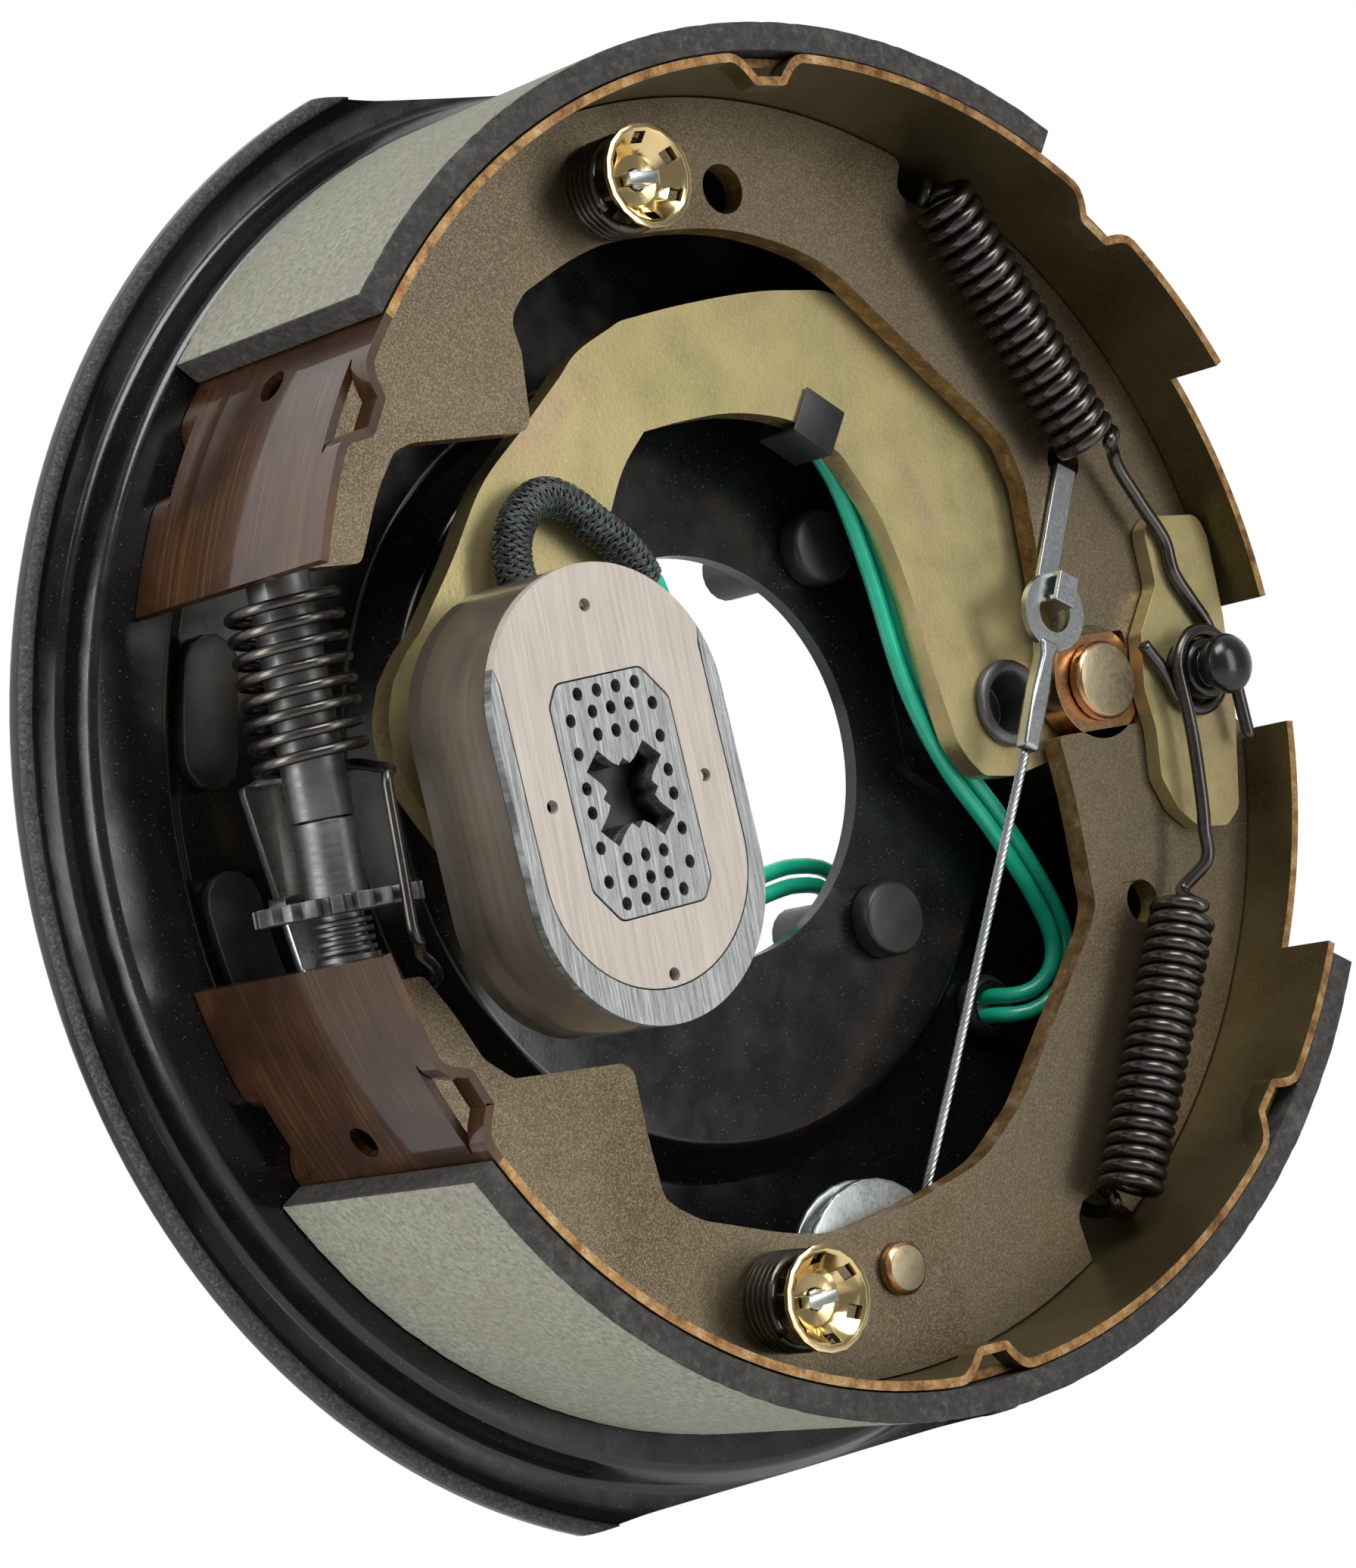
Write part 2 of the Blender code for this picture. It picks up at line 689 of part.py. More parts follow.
def seat(sign):
    """The half-round seat over or under the post, from left to right."""
    lean = math.degrees(math.asin(HORN / SEAT_R))
    return arc(POST, SEAT_R, sign * (180 - lean), sign * lean, 8)


upper_inner = [
    (-0.0894, TOE_UP, 0.002),
    (-0.0826, 0.0540),
    (-0.0778, 0.0603, 0.004),
    (-0.0730, 0.0613),
    (-0.0470, 0.0612, 0.003),
    (-0.0459, 0.0749),
    (-0.0470, 0.0820, 0.005),
    (-0.0420, 0.0865),
    (-0.0295, 0.0919),
    (-0.0181, 0.0948),
    (-0.0033, 0.0958),
    (0.0080, 0.0950),
    (0.0183, 0.0925),
    (0.0286, 0.0882),
    (0.0352, 0.0832),
    (0.0687, 0.0505, 0.012),
    (0.0712, 0.0400),
    (0.0706, BLOCK_TOP, 0.001),
    (BLOCK_RIGHT, BLOCK_TOP, 0.0008),
    (BLOCK_RIGHT + 0.0012, HORN, 0.0008),
]
upper_notch = [
    point(UPPER, WEB_OUT, 56.2),
    (0.0628, 0.0990, 0.002),
    (0.0566, 0.0972, 0.004),
    (0.0520, 0.1000, 0.004),
    (0.0545, 0.1055, 0.003),
    point(UPPER, WEB_OUT, 62.4),
]
upper_line = (
    fillet([point(UPPER, WEB_OUT, UPPER_TOE), *upper_inner, (0.0950, HORN)])[:-1]
    + seat(1)
    + [(POST_X + 0.0090, HORN), (POST_X + 0.0143, 0.0100)]
    + arc(UPPER, WEB_OUT, 5.2, 54.0, 10)
    + fillet(upper_notch)
    + arc(UPPER, WEB_OUT, 64.0, UPPER_TOE - 4.2, 18)
)
PIN_HOLE = HOLD_PIN_R + 0.0028
upper_web = flat(
    [
        upper_line,
        circle((0.0086, 0.1028), 0.0048),
        circle((LINK_X, LINK_Z), 0.0042),
        circle(HOLD_UP, PIN_HOLE, 10),
    ],
    WEB_FRONT,
    WEB_BACK,
)
keep(upper_web, "upper_shoe_web", OLIVE_ZINC)

lower_inner = [
    (0.0674, BLOCK_BOTTOM, 0.001),
    (0.0684, -0.0197),
    (0.0684, -0.0415, 0.006),
    (0.0654, -0.0461),
    (0.0390, -0.0756, 0.020),
    (0.0269, -0.0835),
    (0.0143, -0.0869),
    (0.0020, -0.0892),
    (-0.0095, -0.0902),
    (-0.0203, -0.0889),
    (-0.0406, -0.0829),
    (-0.0499, -0.0778, 0.005),
    (-0.0510, -0.0653),
    (-0.0514, -0.0535, 0.002),
    (-0.0541, -0.0520),
    (-0.0777, -0.0507, 0.003),
    (-0.0833, -0.0464, 0.004),
    (-0.0879, -0.0377),
    (-0.0927, TOE_LOW - 0.0008, 0.002),
]
lower_notch = [
    point(LOWER, WEB_OUT, -65.2),
    (0.0487, -0.1035, 0.003),
    (0.0479, -0.0990, 0.003),
    (0.0500, -0.0958, 0.003),
    (0.0540, -0.0948, 0.003),
    (0.0596, -0.0982, 0.002),
    point(LOWER, WEB_OUT, -58.2),
]
lower_line = (
    fillet(
        [
            (0.0950, -HORN),
            (BLOCK_RIGHT + 0.0012, -HORN, 0.0008),
            (BLOCK_RIGHT, BLOCK_BOTTOM, 0.0008),
            *lower_inner,
            point(LOWER, WEB_OUT, LOWER_TOE),
        ]
    )[1:]
    + arc(LOWER, WEB_OUT, LOWER_TOE + 4.2, -67.0, 18)
    + fillet(lower_notch)
    + arc(LOWER, WEB_OUT, -56.0, -5.8, 10)
    + [(POST_X + 0.0143, -0.0100), (POST_X + 0.0090, -HORN)]
    + seat(-1)[::-1]
)
lower_web = flat(
    [
        lower_line,
        circle((0.0811, -0.0424), 0.0042),
        circle(HOLD_LOW, PIN_HOLE, 10),
        circle((GUIDE_X, GUIDE_Z), RIVET_R * 0.5 + GAP, 12),
    ],
    WEB_FRONT,
    WEB_BACK,
)
keep(lower_web, "lower_shoe_web", OLIVE_ZINC)


def crimp(degrees, depth_in, crimps):
    """How far a table is pinched in, at an angle and a distance from an edge."""
    if depth_in >= CRIMP_LENGTH:
        return 0.0
    if depth_in < 0.25 * CRIMP_LENGTH:
        fall = 1.0
    else:
        fall = 0.5 + 0.5 * math.cos(math.pi * (depth_in / CRIMP_LENGTH - 0.25) / 0.75)
    for centre in crimps:
        off = abs(degrees - centre) / CRIMP_HALF
        if off < 1.0:
            return CRIMP_DEPTH * fall * min(1.0, 1.6 * (0.5 + 0.5 * math.cos(math.pi * off)))
    return 0.0


def table(name, centre, ends, crimps, heel):
    """A shoe table: a bent strip, pinched at both edges to hold the lining."""
    stops = {ends[0], ends[1], heel}
    for middle in crimps:
        stops.update(middle + CRIMP_HALF * k for k in (-1, -0.5, 0, 0.5, 1))
    stops = sorted(stops)
    angles = []
    for a, b in zip(stops, stops[1:]):
        count = max(1, math.ceil((b - a) / 6.5))
        angles += [a + (b - a) * k / count for k in range(count)]
    angles.append(stops[-1])
    edge = [0.0, 0.2 * CRIMP_LENGTH, 0.6 * CRIMP_LENGTH, CRIMP_LENGTH]
    across = edge + [SHOE_W - d for d in reversed(edge)]
    mesh = bpy.data.meshes.new(name)
    shell = bmesh.new()
    bmesh.ops.create_grid(
        shell, x_segments=len(angles) - 1, y_segments=len(across) - 1, size=1.0
    )
    columns = sorted({round(v.co.x, 5) for v in shell.verts})
    rows = sorted({round(v.co.y, 5) for v in shell.verts})
    for vert in shell.verts:
        degrees = angles[columns.index(round(vert.co.x, 5))]
        depth = across[rows.index(round(vert.co.y, 5))]
        radius = TABLE_IN - crimp(degrees, min(depth, SHOE_W - depth), crimps)
        x, z = point(centre, radius, degrees)
        vert.co = (x, SHOE_FRONT + depth, z)
    bmesh.ops.recalc_face_normals(shell, faces=shell.faces)
    shell.to_mesh(mesh)
    shell.free()
    obj = bpy.data.objects.new(name, mesh)
    bpy.context.scene.collection.objects.link(obj)
    outward = mesh.polygons[0].normal.dot(
        mesh.polygons[0].center - Vector((centre[0], 0.0, centre[1]))
    )
    skin = obj.modifiers.new("thickness", "SOLIDIFY")
    skin.thickness = TABLE_T
    skin.offset = 1.0 if outward > 0 else -1.0
    return obj


upper_table = table("upper_shoe_table", UPPER, UPPER_TABLE, UPPER_CRIMPS, UPPER_HEEL)
heel_at = point(UPPER, TABLE_IN, UPPER_HEEL)
boolean(
    upper_table,
    box(
        (0.085, SHOE_FRONT - 0.005, -0.010),
        (0.140, SHOE_FRONT + HEEL_CUT, heel_at[1]),
    ),
)
lower_table = table("lower_shoe_table", LOWER, LOWER_TABLE, LOWER_CRIMPS, LOWER_HEEL)
heel_at = point(LOWER, TABLE_IN, LOWER_HEEL)
boolean(
    lower_table,
    box(
        (0.085, SHOE_FRONT - 0.005, heel_at[1]),
        (0.140, SHOE_FRONT + HEEL_CUT, 0.010),
    ),
)


def table_hole(target, centre, degrees, depth):
    """A round hole through a table, drilled along its radius."""
    angle = math.radians(degrees)
    bpy.ops.mesh.primitive_cylinder_add(
        vertices=12,
        radius=SLOT_HOLE_R,
        depth=0.012,
        location=(
            centre[0] + TABLE_IN * math.cos(angle),
            SHOE_FRONT + depth,
            centre[1] + TABLE_IN * math.sin(angle),
        ),
        rotation=(0.0, math.pi / 2 - angle, 0.0),
    )
    boolean(target, bpy.context.object)


table_hole(upper_table, UPPER, 143.2, 0.0290)
table_hole(lower_table, LOWER, -152.0, 0.0310)
keep(upper_table, "upper_shoe_table", OLIVE_ZINC)
keep(lower_table, "lower_shoe_table", OLIVE_ZINC)


def lining(name, centre, span):
    count = math.ceil((span[1] - span[0]) / 4.5)
    outer = arc(centre, LINING_R, span[0], span[1], count)
    inner = arc(centre, LINING_R - LINING_T, span[1], span[0], count)
    made = flat_solid([outer + inner], SHOE_FRONT, SHOE_BACK)
    return keep(made, name, LINING)


upper_lining = lining("upper_lining", UPPER, UPPER_LINING)
lower_lining = lining("lower_lining", LOWER, LOWER_LINING)


# Hold-downs: a pin from behind the plate, a spring and a dished cup
def hold_down(label, place):
    tip = CUP_BASE - GAP
    profile = [
        (0.0, tip - 0.0004),
        (HOLD_PIN_R, tip - 0.0004),
        (HOLD_PIN_R, REAR_Y + GAP),
        (HOLD_PIN_R + 0.0028, REAR_Y + GAP),
        (HOLD_PIN_R + 0.0028, REAR_Y + 0.0016),
        (0.0, REAR_Y + 0.0020),
    ]
    pin = turned(profile, place, 12)
    bar = box(
        (place[0] - 0.0034, tip - 0.0022, place[1] - 0.0011),
        (place[0] + 0.0034, tip, place[1] + 0.0011),
    )
    boolean(pin, bar, "UNION")
    keep(pin, f"{label}_hold_down_pin", BRIGHT_ZINC)
    hole = HOLD_PIN_R + GAP
    cup_profile = [
        (CUP_R, CUP_RIM),
        (CUP_R, CUP_RIM + CUP_T),
        (CUP_R - 0.0010, CUP_RIM + CUP_T + 0.0006),
        (0.0052, CUP_BASE + CUP_T),
        (hole, CUP_BASE + CUP_T),
        (hole, CUP_BASE),
        (0.0047, CUP_BASE),
        (CUP_R - 0.0018, CUP_RIM + 0.0004),
        (CUP_R - 0.0010, CUP_RIM - 0.0001),
    ]
    cup = turned(cup_profile, place, 18, closed=True)
    for k in range(6):
        spot = point(place, 0.0072, 30 + 60 * k)
        slot = flat_solid(
            [fillet([(-0.0009, -0.0013), (0.0009, -0.0013), (0.0009, 0.0013), (-0.0009, 0.0013)])],
            CUP_RIM - 0.001,
            CUP_BASE + 0.003,
            spot,
            -math.radians(30 + 60 * k),
        )
        boolean(cup, slot)
    keep(cup, f"{label}_hold_down_cup", GOLD_ZINC)
    spring = wire(
        coil(
            (place[0], WEB_FRONT - GAP - HOLD_WIRE_R, place[1]),
            (place[0], CUP_BASE + CUP_T + GAP + HOLD_WIRE_R, place[1]),
            HOLD_SPRING_R,
            3.5,
            10,
            reference=(1, 0, 0),
        ),
        HOLD_WIRE_R,
    )
    keep(spring, f"{label}_hold_down_spring", SPRING_STEEL)
    return pin, cup, spring


upper_hold = hold_down("upper", HOLD_UP)
lower_hold = hold_down("lower", HOLD_LOW)

# Lever arm: a flat crescent from the pivot to the magnet
arm_line = [
    (0.0520, -0.0129, 0.003),
    (0.0600, -0.0140, 0.008),
    (0.0720, -0.0120, 0.006),
    (0.0900, -0.0090, 0.008),
    (0.0925, 0.0100, 0.010),
    (0.0850, 0.0240),
    (0.0760, 0.0420),
    (0.0640, 0.0600),
    (0.0500, 0.0740, 0.020),
    (0.0374, 0.0835, 0.020),
    (0.0180, 0.0842),
    (-0.0015, 0.0828),
    (-0.0166, 0.0808, 0.010),
    (-0.0288, 0.0752),
    (-0.0332, 0.0713),
    (-0.0443, 0.0623),
    (-0.0550, 0.0536),
    (-0.0648, 0.0408),
    (-0.0742, 0.0296),
    (-0.0783, 0.0259),
    (-0.0826, 0.0210, 0.004),
    (-0.0850, 0.0147),
    (-0.0853, 0.0080),
    (-0.0836, 0.0025),
    (-0.0800, -0.0040),
    (-0.0755, -0.0110, 0.006),
    (-0.0670, -0.0180, 0.006),
    (-0.0570, -0.0185, 0.006),
    (-0.0480, -0.0130, 0.006),
    (-0.0410, -0.0020, 0.006),
    (-0.0385, 0.0080),
    (-0.0365, 0.0180),
    (-0.0335, 0.0290),
    (-0.0300, 0.0400),
    (-0.0260, 0.0480),
    (-0.0220, 0.0540),
    (-0.0158, 0.0600),
    (-0.0064, 0.0612),
    (0.0049, 0.0618),
    (0.0140, 0.0608),
    (0.0213, 0.0588),
    (0.0312, 0.0520, 0.008),
    (0.0379, 0.0397),
    (0.0419, 0.0246),
    (0.0439, 0.0096),
    (0.0464, -0.0040),
    (0.0490, -0.0095),
]
arm = flat(
    [
        fillet(arm_line),
        circle(PIVOT, PIVOT_R + RUN, 20),
        circle(BLOCK, PIN_R + GAP, 16),
        circle(MAGNET, SPIGOT_R + GAP, 16),
    ],
    ARM_FRONT,
    ARM_BACK,
)
keep(arm, "lever_arm", YELLOW_ZINC)

# Hollow pivot stud: foot on the plate, collar ahead of the arm
collar_back = ARM_FRONT - RUN
pivot_profile = [
    (0.0, ARM_BACK + 0.0030),
    (PIVOT_BORE_R, ARM_BACK + 0.0030),
    (PIVOT_BORE_R, collar_back - 0.0004),
    (PIVOT_BORE_R + 0.0008, collar_back - 0.0016),
    (PIVOT_COLLAR_R - 0.0006, collar_back - 0.0016),
    (PIVOT_COLLAR_R, collar_back - 0.0010),
    (PIVOT_COLLAR_R, collar_back),
    (PIVOT_R, collar_back),
    (PIVOT_R, ARM_BACK + RUN),
    (PIVOT_R + 0.0008, ARM_BACK + RUN),
    (PIVOT_R + 0.0008, foot),
    (0.0040, foot),
    (0.0040, GAP),
    (0.0062, GAP),
    (0.0052, 0.0022),
    (0.0, 0.0022),
]
pivot_stud = turned(pivot_profile, PIVOT, 20)
keep(pivot_stud, "arm_pivot_stud", GREY_STEEL)

# Drive block between the two webs, on its pin
half = BLOCK_SIDE / 2
block_line = [
    (-half, -half, 0.0008),
    (half, -half, 0.0008),
    (half, half, 0.0008),
    (-half, half, 0.0008),
]
block = flat(
    [fillet(block_line, 2), circle((0.0, 0.0), PIN_R + GAP, 20)],
    WEB_FRONT,
    WEB_BACK + 0.0010,
    BLOCK,
)
keep(block, "drive_block", GOLD_ZINC)
pin_profile = [
    (0.0, WEB_FRONT - GAP - 0.0028),
    (PIN_HEAD_R - 0.0007, WEB_FRONT - GAP - 0.0028),
    (PIN_HEAD_R, WEB_FRONT - GAP - 0.0021),
    (PIN_HEAD_R, WEB_FRONT - GAP),
    (PIN_R, WEB_FRONT - GAP),
    (PIN_R, ARM_BACK + GAP),
    (PIN_R + 0.0016, ARM_BACK + GAP),
    (PIN_R + 0.0010, ARM_BACK + 0.0020),
    (0.0, ARM_BACK + 0.0020),
]
keep(turned(pin_profile, BLOCK, 24), "drive_pin", GOLD_ZINC)


# Magnet: a moulded case, a steel pole, a friction pad and a ground core
def stadium(radius, straight_up, straight_down, count=10):
    return arc((0.0, straight_up), radius, 0, 180, count) + arc(
        (0.0, -straight_down), radius, 180, 360, count
    )


def magnet_piece(loops, front, back):
    return flat_solid(loops, front, back, MAGNET, MAGNET_TURN)


case = magnet_piece([stadium(MAGNET_R, MAGNET_STRAIGHT, MAGNET_STRAIGHT)], CASE_FRONT, MAGNET_BACK)
boolean(case, rod(SPIGOT_R + RUN, MAGNET_BACK - MAGNET_BORE, MAGNET_BACK + 0.001, MAGNET, 20))
keep(case, "magnet_case", RESIN)

STEP_Z = 0.0255  # the pad is as wide as the case above this
step_x = math.sqrt(MAGNET_R ** 2 - (STEP_Z - MAGNET_STRAIGHT) ** 2)
pole_line = (
    [(-step_x, STEP_Z)]
    + [p for p in arc((0.0, MAGNET_STRAIGHT), MAGNET_R, 154, 180, 2)]
    + arc((0.0, -MAGNET_STRAIGHT), MAGNET_R, 180, 360, 14)
    + [p for p in arc((0.0, MAGNET_STRAIGHT), MAGNET_R, 0, 26, 2)]
    + [(step_x, STEP_Z), (PAD_R + GAP, STEP_Z - 0.0030)]
    + arc((0.0, PAD_R - PAD_DROP), PAD_R + GAP, 0, -180, 12)
    + [(-PAD_R - GAP, STEP_Z - 0.0030)]
)
pole = magnet_piece([pole_line], MAGNET_FRONT, MAGNET_FRONT + POLE_T)
keep(pole, "magnet_pole", POLE_STEEL)


def chamfered(half_x, half_z, cut_x, cut_z):
    return [
        (-half_x, -half_z + cut_z),
        (-half_x + cut_x, -half_z),
        (half_x - cut_x * 0.5, -half_z),
        (half_x, -half_z + cut_z * 0.6),
        (half_x, half_z - cut_z),
        (half_x - cut_x, half_z),
        (-half_x + cut_x * 0.5, half_z),
        (-half_x, half_z - cut_z * 0.6),
    ]


pad_line = (
    arc((0.0, MAGNET_STRAIGHT), MAGNET_R, 26, 154, 14)
    + [(-step_x, STEP_Z + GAP), (-PAD_R, STEP_Z - 0.0030)]
    + arc((0.0, PAD_R - PAD_DROP), PAD_R, 180, 360, 12)
    + [(PAD_R, STEP_Z - 0.0030), (step_x, STEP_Z + GAP)]
)
core_hole = chamfered(CORE_HALF_X + GAP, CORE_HALF_Z + GAP, 0.0048, 0.0062)
dots = [circle(spot, 0.0012, 8) for spot in ((0, 0.0325), (0, -0.0325), (-0.0172, 0), (0.0172, 0))]
pad = magnet_piece([pad_line, core_hole, *dots], MAGNET_FRONT, MAGNET_FRONT + POLE_T)
keep(pad, "magnet_friction_pad", FRICTION)


def star_socket(reach, half_width, core):
    """A diagonal cross with a square core, as one outline."""
    made = []
    for k in range(4):
        along = math.radians(45 + 90 * k)
        ux, uz = math.cos(along), math.sin(along)
        nx, nz = -uz, ux
        near = core * 1.05
        made += [
            (ux * near - nx * half_width, uz * near - nz * half_width),
            (ux * reach - nx * half_width, uz * reach - nz * half_width),
            (ux * reach + nx * half_width, uz * reach + nz * half_width),
            (ux * near + nx * half_width, uz * near + nz * half_width),
        ]
        tooth = math.radians(90 + 90 * k)
        made.append((math.cos(tooth) * core, math.sin(tooth) * core))
    return made


core_outline = chamfered(CORE_HALF_X, CORE_HALF_Z, 0.0048, 0.0062)
socket = star_socket(0.0098, 0.0022, 0.0052)
HOLES = [
    (x * 0.0042 + (0.0021 if row % 2 else 0.0), z)
    for row, z in enumerate((0.0185, 0.0150, 0.0115, -0.0115, -0.0150, -0.0185))
    for x in ((-1.5, -0.5, 0.5, 1.5) if row % 2 == 0 else (-2, -1, 0, 1))
]
HOLES += [(side * 0.0106, z) for side in (-1, 1) for z in (0.0072, 0.0024, -0.0024, -0.0072)]
small = [circle(spot, 0.0009, 6) for spot in HOLES]
core_plate = magnet_piece([core_outline, socket, *small], MAGNET_FRONT, MAGNET_FRONT + POLE_T)
keep(core_plate, "magnet_core", POLE_STEEL)
boolean(case, magnet_piece([socket], CASE_FRONT - 0.002, CASE_FRONT + 0.0060))

spigot_tip = MAGNET_BACK - SPIGOT_REACH
spigot_profile = [
    (0.0, spigot_tip),
    (SPIGOT_R - 0.0006, spigot_tip),
    (SPIGOT_R, spigot_tip + 0.0006),
    (SPIGOT_R, ARM_BACK + GAP),
    (SPIGOT_R + 0.0025, ARM_BACK + GAP),
    (SPIGOT_R + 0.0020, ARM_BACK + 0.0018),
    (0.0, ARM_BACK + 0.0018),
]
keep(turned(spigot_profile, MAGNET, 20), "magnet_stud", GREY_STEEL)
magnet_spring = wire(
    [
        Vector(p)
        for p in coil(
            (MAGNET_X, MAGNET_BACK + GAP + 0.0010, MAGNET_Z),
            (MAGNET_X, ARM_FRONT - GAP - 0.0010, MAGNET_Z),
            0.0080,
            3,
            10,
            reference=(1, 0, 0),
        )
    ],
    0.0010,
)
keep(magnet_spring, "magnet_spring", SPRING_STEEL)

# Return springs: coil, a hook in the web's notch and a hook round the post
hook_r = POST_R + GAP + COIL_WIRE_R


def round_post(y, start, end, count):
    return [(*point(POST, hook_r, start + (end - start) * k / count), y) for k in range(count + 1)]


def from_xz(points):
    return [Vector((x, y, z)) for x, z, y in points]


upper_coil = coil(
    (0.0560, COIL_Y, 0.0972),
    (0.0828, COIL_Y, 0.0460),
    COIL_R,
    16.5,
    7,
)
behind_web = WEB_BACK + GAP + COIL_WIRE_R
upper_hook = [
    Vector((0.0500, behind_web, 0.0935)),
    Vector((0.0535, behind_web, 0.0990)),
    Vector((0.0573, WEB_BACK - 0.0008, 0.1015)),
    Vector((0.0580, WEB_FRONT - 0.0010, 0.1018)),
    Vector((0.0570, COIL_Y + COIL_R * 0.86, 0.1000)),
]
upper_end = from_xz(
    [
        (0.0858, 0.0436, COIL_Y + 0.0030),
        (0.0880, 0.0390, HOOK_BACK - 0.0010),
        (0.0905, 0.0335, HOOK_BACK),
        (0.0968, 0.0215, HOOK_BACK),
        (0.1035, 0.0125, HOOK_BACK),
        (0.1080, 0.0058, HOOK_BACK),
    ]
    + round_post(HOOK_BACK, 20, -140, 8)
    + [(0.0925, -0.0015, HOOK_BACK), (0.0882, 0.0050, HOOK_BACK)]
)
upper_return = wire(upper_hook + upper_coil + upper_end, COIL_WIRE_R)
keep(upper_return, "upper_return_spring", SPRING_STEEL)

lower_coil = coil(
    (0.0546, COIL_Y, -0.0958),
    (0.0836, COIL_Y, -0.0455),
    COIL_R,
    16.5,
    7,
)
lower_hook = [
    Vector((0.0530, behind_web, -0.0905)),
    Vector((0.0540, behind_web, -0.0960)),
    Vector((0.0550, WEB_BACK - 0.0008, -0.0986)),
    Vector((0.0552, WEB_FRONT - 0.0010, -0.0990)),
    Vector((0.0549, COIL_Y + COIL_R * 0.86, -0.0975)),
]
lower_end = from_xz(
    [
        (0.0870, -0.0420, COIL_Y + 0.0028),
        (0.0915, -0.0370, HOOK_FRONT - 0.0004),
        (0.0938, -0.0300, HOOK_FRONT),
        (0.0950, -0.0225, HOOK_FRONT),
        (0.0932, -0.0130, HOOK_FRONT),
    ]
    + round_post(HOOK_FRONT, 184, 10, 8)
    + [(0.1098, -0.0060, HOOK_FRONT), (0.1104, -0.0148, HOOK_FRONT)]
)
lower_return = wire(lower_hook + lower_coil + lower_end, COIL_WIRE_R)
keep(lower_return, "lower_return_spring", SPRING_STEEL)

# Adjuster: forked tube, star screw and forked nut on one upright axis
ADJ = (ADJ_X, ADJ_Y)
fork_gap = WEB_T / 2 + GAP
tube = upright(TUBE_R, TUBE_LOW, TOE_UP + 0.0040, ADJ, 20)
boolean(
    tube,
    box(
        (ADJ_X - 0.010, ADJ_Y - fork_gap, TOE_UP - GAP),
        (ADJ_X + 0.010, ADJ_Y + fork_gap, TOE_UP + 0.010),
    ),
)
rod_r = 0.0036
rod_top = 0.0280
boolean(tube, upright(rod_r + RUN, TUBE_LOW - 0.001, rod_top + 0.0015, ADJ, 16))
keep(tube, "adjuster_tube", GREY_STEEL)

star_low = STAR_TOP - STAR_T
screw = upright(BARREL_R, STAR_TOP - 0.0005, TUBE_LOW - GAP, ADJ, 20)
boolean(screw, upright(rod_r, TUBE_LOW - 0.0020, rod_top, ADJ, 16), "UNION")
teeth = []
for k in range(STAR_TEETH):
    middle = 360 * k / STAR_TEETH
    part = 360 / STAR_TEETH
    teeth += [
        point((0.0, 0.0), STAR_R - 0.0022, middle - part * 0.36),
        point((0.0, 0.0), STAR_R, middle - part * 0.22),
        point((0.0, 0.0), STAR_R, middle + part * 0.22),
        point((0.0, 0.0), STAR_R - 0.0022, middle + part * 0.36),
    ]
wheel = flat([teeth], -STAR_T / 2, STAR_T / 2)
wheel.rotation_euler = (0.0, 0.0, 0.0)
wheel.location = (ADJ_X, ADJ_Y, STAR_TOP - STAR_T / 2)
boolean(screw, as_mesh(wheel), "UNION")
boolean(screw, upright(SCREW_R - 0.0012, NUT_TOP - 0.0030, STAR_TOP - 0.0010, ADJ, 14), "UNION")
for k in range(4):
    thread_low = star_low - 0.0004 - 0.0016 * (k + 1)
    thread = upright(SCREW_R, thread_low, thread_low + 0.0009, ADJ, 14)
    boolean(screw, thread, "UNION")
keep(screw, "star_screw", GREY_STEEL)

nut = upright(TUBE_R, TOE_LOW - 0.0040, NUT_TOP, ADJ, 20)
boolean(
    nut,
    box(
        (ADJ_X - 0.010, ADJ_Y - fork_gap, TOE_LOW - 0.010),
        (ADJ_X + 0.010, ADJ_Y + fork_gap, TOE_LOW + GAP),
    ),
)
boolean(nut, upright(SCREW_R - 0.0012 + RUN, NUT_TOP - 0.0040, NUT_TOP + 0.001, ADJ, 16))
keep(nut, "adjuster_nut", GREY_STEEL)

adj_coil = coil(
    (ADJ_X, ADJ_Y, ADJ_COIL_TOP),
    (ADJ_X, ADJ_Y, ADJ_COIL_LOW),
    ADJ_COIL_R,
    ADJ_TURNS,
    8,
    reference=(1, 0, 0),
)
leg_y = ADJ_Y - STAR_R - 0.0014
adj_leg = [
    Vector((ADJ_X + 0.0098, ADJ_Y - 0.0045, ADJ_COIL_LOW - 0.0012)),
    Vector((ADJ_X + 0.0086, ADJ_Y - 0.0100, ADJ_COIL_LOW - 0.0022)),
    Vector((ADJ_X + 0.0040, leg_y + 0.0006, ADJ_COIL_LOW - 0.0032)),
    Vector((ADJ_X + 0.0030, leg_y, ADJ_COIL_LOW - 0.0050)),
    Vector((ADJ_X + 0.0028, leg_y, -0.0100)),
    Vector((ADJ_X + 0.0026, leg_y, -0.0222)),
    Vector((ADJ_X + 0.0040, leg_y + 0.0008, -0.0245)),
    Vector((-0.0985, -0.0385, -0.0265)),
    Vector((-0.0930, -0.0335, -0.0285)),
    Vector((-0.0896, -0.0300, -0.0308)),
    Vector((-0.0888, -0.0255, -0.0325)),
    Vector((-0.0905, WEB_BACK + GAP + ADJ_WIRE_R + 0.0002, -0.0345)),
]
adj_spring = wire(adj_coil + adj_leg, ADJ_WIRE_R)
keep(adj_spring, "adjuster_spring", SPRING_STEEL)

